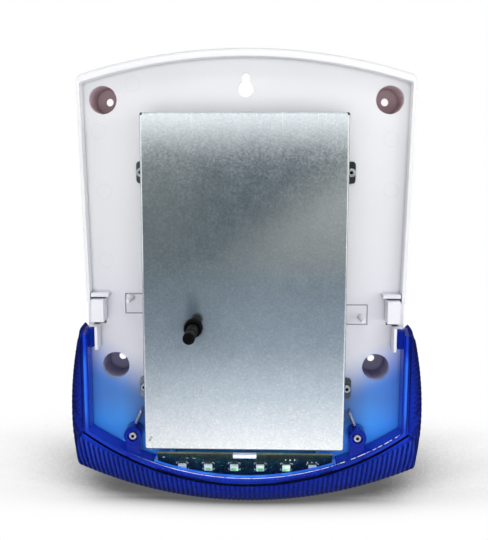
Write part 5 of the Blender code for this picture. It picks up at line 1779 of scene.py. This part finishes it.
@dataclass
class StrobeBoard:
    """Tilted strobe board with its LEDs, plug socket and printed marks."""

    finishes: Finishes
    width: float = 0.112
    height: float = 0.0206
    thick: float = 0.0016
    top_y: float = -0.035
    top_z: float = -0.1385
    tilt: float = math.radians(27.6)
    led_count: int = 6
    led_pitch: float = 0.0168
    led_shift: float = 0.0015
    led_side: float = 0.0052
    led_rise: float = 0.0016
    led_drop: float = 0.0116
    socket_width: float = 0.0148
    socket_height: float = 0.0036
    socket_rise: float = 0.0020
    socket_lift: float = 0.0003
    board_round: float = 0.00015
    face_turn: float = 0.9
    led_round: float = 0.00022
    window_half: float = 0.0016
    window_rows: Point = (0.0007, 0.0029)
    window_depths: Point = (-0.0001, 0.0002)
    window_round: float = 0.0001
    leg_places: Point = (-0.0004, 0.0022)
    leg_half: float = 0.0007
    leg_rise: float = 0.0012
    leg_length: float = 0.0030
    socket_round: float = 0.0002
    mouth_low: Triple = (0.0006, 0.0006, 0.0026)
    mouth_high: Triple = (-0.0006, -0.0006, 0.002)
    bracket: Point = (0.0037, 0.0033)
    print_line: float = 0.0003
    print_arm: float = 0.0013
    print_depths: Point = (-0.00005, 0.00003)
    marks: tuple[Four, ...] = (
        (-0.0521, -0.0036, 0.0012, 0.0008),
        (-0.0370, -0.0043, 0.0018, 0.0003),
        (-0.0325, -0.0044, 0.0022, 0.0003),
        (0.0262, -0.0050, 0.0007, 0.0012),
        (0.0291, -0.0052, 0.0009, 0.0012),
        (0.0320, -0.0050, 0.0007, 0.0012),
        (0.0402, -0.0070, 0.0008, 0.0008),
        (0.0430, -0.0071, 0.0008, 0.0008),
        (0.0458, -0.0070, 0.0008, 0.0008),
    )

    def place(self) -> Matrix:
        """The board's own frame: X along it, Y into it, Z up its face."""
        return Matrix.Translation((0.0, self.top_y, self.top_z)) @ Matrix.Rotation(self.tilt, 4, "X")

    def on_board(self, name: str, bm: bmesh.types.BMesh, *materials: bpy.types.Material) -> bpy.types.Object:
        """Make a piece from a mesh that is drawn in the board's own frame."""
        bm.transform(self.place())
        return soften(make_piece(name, bm, *materials))

    def led_x(self, number: int) -> float:
        """Place of an LED along the board."""
        return self.led_shift + (number - (self.led_count + 1) / 2) * self.led_pitch

    def build_board(self) -> None:
        """Board with green faces and pale sawn edges."""
        bm = bmesh.new()
        add_box(bm, (-self.width / 2, 0.0, -self.height), (self.width / 2, self.thick, 0.0), self.board_round)
        for face in bm.faces:
            face.material_index = 0 if abs(face.normal.y) > self.face_turn else 1
        piece = self.on_board("strobe_board", bm, self.finishes.board_green, self.finishes.board_edge)
        seat(piece, Body.HOUSING, Slot.BOARD_GREEN, "led_board")

    def build_led(self, number: int) -> None:
        """LED package: pale frame with a lime window in its lower half.

        Args:
            number: the LED's number from the left.
        """
        x = self.led_x(number)
        half = self.led_side / 2
        front = -GAP - self.led_rise
        bm = bmesh.new()
        low = (x - half, front, -self.led_drop - half)
        add_box(bm, low, (x + half, -GAP, -self.led_drop + half), self.led_round)
        frame_faces = len(bm.faces)
        pane_low, pane_high = (
            (x + side.value * self.window_half, front + depth, low[2] + row)
            for side, depth, row in zip(Side, self.window_depths, self.window_rows)
        )
        add_box(bm, pane_low, pane_high, self.window_round)
        bm.faces.ensure_lookup_table()
        for face in bm.faces[frame_faces:]:
            face.material_index = 1
        piece = self.on_board(f"led_package_{number}", bm, self.finishes.led_white, self.finishes.led_window)
        seat(piece, Body.HOUSING, Slot.LED_WHITE, f"led_{number}")

    def build_print(self) -> None:
        """Printed corner brackets round the LEDs and the small marks along the board's top."""
        bars = list(self.marks)
        line, arm = self.print_line, self.print_arm
        for number in range(1, self.led_count + 1):
            for right in (-1, 1):
                for up in (-1, 1):
                    x = self.led_x(number) + right * self.bracket[0]
                    z = -self.led_drop + up * self.bracket[1]
                    bars.append((x, z - up * arm / 2, line, arm))
                    bars.append((x - right * arm / 2, z, arm, line))
        bm = bmesh.new()
        for x, z, wide, tall in bars:
            low = (x - wide / 2, self.print_depths[0], z - tall / 2)
            add_box(bm, low, (x + wide / 2, self.print_depths[1], z + tall / 2))
        piece = self.on_board("strobe_print", bm, self.finishes.print_white)
        seat(piece, Body.HOUSING, Slot.BOARD_GREEN)

    def build_legs(self) -> None:
        """Two dark legs of the socket, bent down onto the board."""
        bm = bmesh.new()
        top = self.socket_lift - self.socket_height / 2
        for x in self.leg_places:
            low = (x - self.leg_half, -self.leg_rise, top - self.leg_length)
            add_box(bm, low, (x + self.leg_half, -GAP / 3, top - GAP / 3), self.socket_round)
        piece = self.on_board("socket_legs", bm, self.finishes.socket_black)
        seat(piece, Body.HOUSING, Slot.SOCKET_WHITE)

    def build_socket(self) -> None:
        """Plug socket with its open mouth."""
        wide, tall = self.socket_width / 2, self.socket_height / 2
        low = Vector((-wide, -GAP - self.socket_rise, self.socket_lift - tall))
        high = Vector((wide, -GAP, self.socket_lift + tall))
        bm = bmesh.new()
        add_box(bm, low, high, self.socket_round)
        bm.transform(self.place())
        piece = make_piece("plug_socket", bm, self.finishes.socket_white)
        mouth = bmesh.new()
        add_box(mouth, low + Vector(self.mouth_low), high + Vector(self.mouth_high))
        mouth.transform(self.place())
        cut(piece, [mouth], Cut.REMOVE)
        soften(piece)
        seat(piece, Body.HOUSING, Slot.SOCKET_WHITE, "led_connector")

    def build(self) -> None:
        """Build the board and everything on it."""
        self.build_board()
        for number in range(1, self.led_count + 1):
            self.build_led(number)
        self.build_socket()
        self.build_legs()
        self.build_print()


class Works:
    """Frame nodes that keep their own shape and get their finish here."""

    def dress(self, finishes: Finishes) -> None:
        """Give every frame node the material of its slot.

        Args:
            finishes: the siren's materials.
        """
        for subpart in frame["record"]["subparts"]:
            node = frame["nodes"][subpart["node"]]
            node.data.materials.clear()
            node.data.materials.append(getattr(finishes, subpart["material_slot"]))
            LOG.info("%s takes %s", subpart["node"], subpart["material_slot"])


# Studio


@dataclass(frozen=True)
class Lamp:
    """Soft rectangular lamp aimed at a point."""

    name: str
    place: Triple
    size: Point
    power: float
    aim: Triple = (0.0, -0.02, -0.02)
    spread: float = math.pi

    def build(self) -> None:
        """Hang the lamp, which mirrors don't show."""
        data = bpy.data.lights.new(self.name, "AREA")
        data.shape = "RECTANGLE"
        data.size, data.size_y = self.size
        data.energy = self.power
        data.spread = self.spread
        lamp = bpy.data.objects.new(self.name, data)
        lamp.location = self.place
        lamp.rotation_euler = (Vector(self.aim) - Vector(self.place)).to_track_quat("-Z", "Y").to_euler()
        lamp.visible_camera = False
        lamp.visible_glossy = False
        bpy.context.scene.collection.objects.link(lamp)


@dataclass
class Studio:
    """Camera, pale floor, soft surroundings, glowing cards and lamps."""

    eye: Triple = (0.012559, -0.504, 0.048508)
    right: Triple = (0.9996, 0.028245, 0.001382)
    up: Triple = (-0.005432, 0.143846, 0.989585)
    forward: Triple = (-0.027752, 0.989197, -0.143942)
    focal_pixels: float = 770.0
    picture_height: float = 540.0
    sensor: float = 36.0
    clip_start: float = 0.01
    floor_z: float = -0.1822
    floor_half: float = 6.0
    paper: Point = (0.86, 0.90)
    ambient: float = 0.44
    mirrored_sky: float = 0.06
    through_sky: float = 0.60
    shadow_reach: float = 0.20
    shadow_lean: float = -2.0
    shadow_rows: Point = (-0.045, 0.020)
    shadow_depth: float = 5.0
    shadow_start: float = 0.045
    darkest: float = 0.12
    sheen_left: Range = (-0.13, 0.0, 0.80, 1.0)
    sheen_rows: Point = (-1.2, -0.03)
    sheen: tuple[tuple[float, Colour], ...] = (
        (0.0, tone(0.24, 0.275, 0.30)),
        (0.302, tone(0.254, 0.31, 0.354)),
        (0.586, tone(0.339, 0.40, 0.463)),
        (0.752, tone(0.733, 0.789, 0.846)),
        (0.823, tone(1.066, 1.061, 1.097)),
        (0.843, tone(1.173, 1.163, 1.151)),
        (0.870, tone(1.25, 1.24, 1.22)),
        (0.962, tone(1.25, 1.24, 1.22)),
        (0.980, tone(0.04, 0.045, 0.05)),
        (1.0, tone(0.04, 0.045, 0.05)),
    )
    card_top: float = 0.9
    front_half: float = 1.6
    front_y: float = -1.2
    side_x: float = 1.1
    side_rows: Point = (-1.1, 0.15)
    above_half: float = 0.7
    above_rows: Point = (-0.75, 0.1)
    dim: Colour = tone(0.125, 0.155, 0.170)
    bright: Colour = tone(1.38, 1.39, 1.39)
    bright_rise: Point = (0.0549, 0.1507)
    warm: Colour = tone(0.46, 0.47, 0.45)
    warm_at: Point = (-0.06, -0.045)
    warm_slope: float = 1.27
    warm_spread: Point = (0.05, 0.25)
    warm_rise: Range = (-0.16, -0.04, 0.54, 1.0)
    leftmost: Colour = tone(0.212, 0.235, 0.235)
    left_spread: Range = (-0.20, -0.06, 1.0, 0.0)
    left_rise: Range = (-0.16, 0.0, 0.3, 1.0)
    left_card: Colour = tone(1.2, 1.2, 1.22)
    right_card: Colour = tone(1.2, 1.18, 1.08)
    side_spots: Colour = tone(0.9, 0.9, 0.9)
    above_card: Colour = tone(1.4, 1.4, 1.4)
    above_spots: Colour = tone(1.2, 1.2, 1.2)
    uneven: float = 0.2
    panels: tuple[Lamp, ...] = (
        Lamp("left_panel", (-0.95, -0.30, 0.05), (0.9, 0.9), 4.4),
        Lamp("right_panel", (0.88, -0.48, -0.06), (0.9, 0.9), 6.5),
        Lamp("lower_panel", (0.0, -0.75, -0.16), (1.0, 0.3), 1.9),
        Lamp("strobe_panel", (0.0, -0.42, -0.10), (0.10, 0.012), 0.016, (0.0, -0.03, -0.146), STROBE_SPREAD),
        Lamp("upper_panel", (0.0, -0.45, 1.00), (0.9, 0.5), 5.0),
    )

    def camera(self) -> None:
        """Set the camera at the photograph's place."""
        data = bpy.data.cameras.new("camera")
        data.sensor_fit = "VERTICAL"
        data.sensor_height = self.sensor
        data.lens = self.focal_pixels / self.picture_height * self.sensor
        data.clip_start = self.clip_start
        camera = bpy.data.objects.new("camera", data)
        back = -Vector(self.forward)
        axes = Matrix((self.right, self.up, back)).transposed().to_4x4()
        camera.matrix_world = Matrix.Translation(self.eye) @ axes
        bpy.context.scene.collection.objects.link(camera)
        bpy.context.scene.camera = camera

    def world(self) -> None:
        """Soft surroundings: white when seen directly, dark in mirrors and grey through the lens."""
        world = bpy.data.worlds.new("surroundings")
        world.use_nodes = True
        tree = world.node_tree
        tree.nodes.clear()
        path = tree.nodes.new("ShaderNodeLightPath")
        level = self.ambient
        shares = {
            "Is Camera Ray": 1.0,
            "Is Glossy Ray": self.mirrored_sky,
            "Is Transmission Ray": self.through_sky,
        }
        for ray, shown in shares.items():
            pick = tree.nodes.new("ShaderNodeMix")
            pick.inputs[3].default_value = shown
            if isinstance(level, float):
                pick.inputs[2].default_value = level
            else:
                tree.links.new(level, pick.inputs[2])
            tree.links.new(path.outputs[ray], pick.inputs[0])
            level = pick.outputs[0]
        sky = tree.nodes.new("ShaderNodeBackground")
        sky.inputs[0].default_value = (1.0, 1.0, 1.0, 1.0)
        tree.links.new(level, sky.inputs[1])
        output = tree.nodes.new("ShaderNodeOutputWorld")
        tree.links.new(sky.outputs[0], output.inputs[0])
        bpy.context.scene.world = world

    def floor(self) -> None:
        """White floor with the object's soft shadow painted from ambient occlusion, and mirrored in the
        steel.
        """
        g = Graph("floor_white")
        x, y, _ = g.axes()
        white = g.grey(g.noise(6.0).span(*NOISE_BODY, *self.paper))
        matt = g.node("BsdfDiffuse", {0: white}).outputs[0]
        # painted soft shadow, from ambient occlusion leaning towards the front
        lean = g.node("CombineXYZ", {0: 0.0, 1: self.shadow_lean, 2: 1.0}).outputs[0]
        lean = g.node("VectorMath", {0: lean}, operation="NORMALIZE").outputs[0]
        inputs = {"Distance": self.shadow_reach, "Normal": lean}
        near = g.value("AmbientOcclusion", inputs, "AO", samples=16)
        hidden = (1.0 - self.shadow_start - near) | 0.0
        behind = y.span(*self.shadow_rows, 0.0, self.shadow_depth, True)
        shade = (1.0 - hidden * behind) | self.darkest
        shown = g.node("Emission", {1: shade}).outputs[0]
        sheen = g.ramp(y.span(*self.sheen_rows), self.sheen)
        mirrored = g.node("Emission", {0: sheen, 1: x.span(*self.sheen_left)}).outputs[0]
        path = g.node("LightPath").outputs
        seen = Value(g, path["Is Camera Ray"]) | Value(g, path["Is Transmission Ray"])
        bounced = Value(g, path["Is Glossy Ray"]) * Value(g, path["Is Reflection Ray"])
        material = g.done(g.blend(bounced, g.blend(seen, matt, shown), mirrored))
        bm = bmesh.new()
        bmesh.ops.create_grid(bm, x_segments=8, y_segments=8, size=self.floor_half)
        bmesh.ops.translate(bm, vec=(0.0, 0.0, self.floor_z), verts=bm.verts[:])
        floor = make_piece("floor", bm, material)

    def hang_card(self, g: Graph, name: str, glow: Socket, corners: list[Triple]) -> None:
        """Hang a glowing card that only mirrors show.

        Args:
            g: the card's material graph.
            name: name of the card.
            glow: its colour.
            corners: its four corners.
        """
        material = g.done(g.node("Emission", {0: glow}).outputs[0])
        bm = bmesh.new()
        bm.faces.new([bm.verts.new(corner) for corner in corners])
        card = make_piece(name, bm, material)
        card.visible_camera = False
        card.visible_diffuse = False
        card.visible_shadow = False
        card.visible_transmission = False

    def plain_card(self, name: str, colour: Colour, spots: Colour, corners: list[Triple]) -> None:
        """Hang a card of one colour with faint spots of another.

        Args:
            name: name of the card.
            colour: its main colour.
            spots: colour of the spots.
            corners: its four corners.
        """
        g = Graph(name)
        glow = g.mix(g.noise(2.0).span(*NOISE_BODY, 0.0, self.uneven), colour, spots)
        self.hang_card(g, name, glow, corners)

    def cards(self) -> None:
        """Graded card behind the camera, white ones at the sides and a bright one overhead."""
        g = Graph("card_grey")
        x, _, z = g.axes()
        slope = x - self.warm_at[0] - (z - self.warm_at[1]) * self.warm_slope
        warm = slope.span(*self.warm_spread, smooth=True) * z.span(*self.warm_rise)
        dim = g.mix(warm, self.dim, self.warm)
        dim = g.mix(x.span(*self.left_spread) * z.span(*self.left_rise), dim, self.leftmost)
        glow = g.mix(z.span(*self.bright_rise), dim, self.bright)
        low, high = self.floor_z, self.card_top
        ends = ((-self.front_half, self.front_y), (self.front_half, self.front_y))
        self.hang_card(g, "card_front", glow, self.upright(ends, low, high))
        for side, colour in ((Side.LEFT, self.left_card), (Side.RIGHT, self.right_card)):
            ends = tuple((side.value * self.side_x, row) for row in self.side_rows)
            corners = self.upright(ends, low, high)
            self.plain_card(f"card_{side.name.lower()}", colour, self.side_spots, corners)
        half = self.above_half
        near, far = self.above_rows
        corners = [(-half, near, high), (half, near, high), (half, far, high), (-half, far, high)]
        self.plain_card("card_above", self.above_card, self.above_spots, corners)

    @staticmethod
    def upright(ends: tuple[Point, Point], low: float, high: float) -> list[Triple]:
        """Corners of an upright card over the line between two points of the floor."""
        start, stop = ends
        return [(*start, low), (*stop, low), (*stop, high), (*start, high)]

    def build(self) -> None:
        """Set up the whole studio."""
        self.camera()
        self.world()
        self.floor()
        self.cards()
        for panel in self.panels:
            panel.build()
        bpy.context.scene.view_settings.view_transform = "Standard"


def main() -> None:
    """Build the studio and every piece of the siren."""
    logging.basicConfig(level=logging.INFO, format="%(relativeCreated)d ms %(name)s: %(message)s")
    Studio().build()
    finishes = Finishes()
    Works().dress(finishes)
    Lens(finishes).build()
    SteelCover(finishes).build()
    Tamper(finishes).build()
    StrobeBoard(finishes).build()


if __name__ == "__main__":
    main()
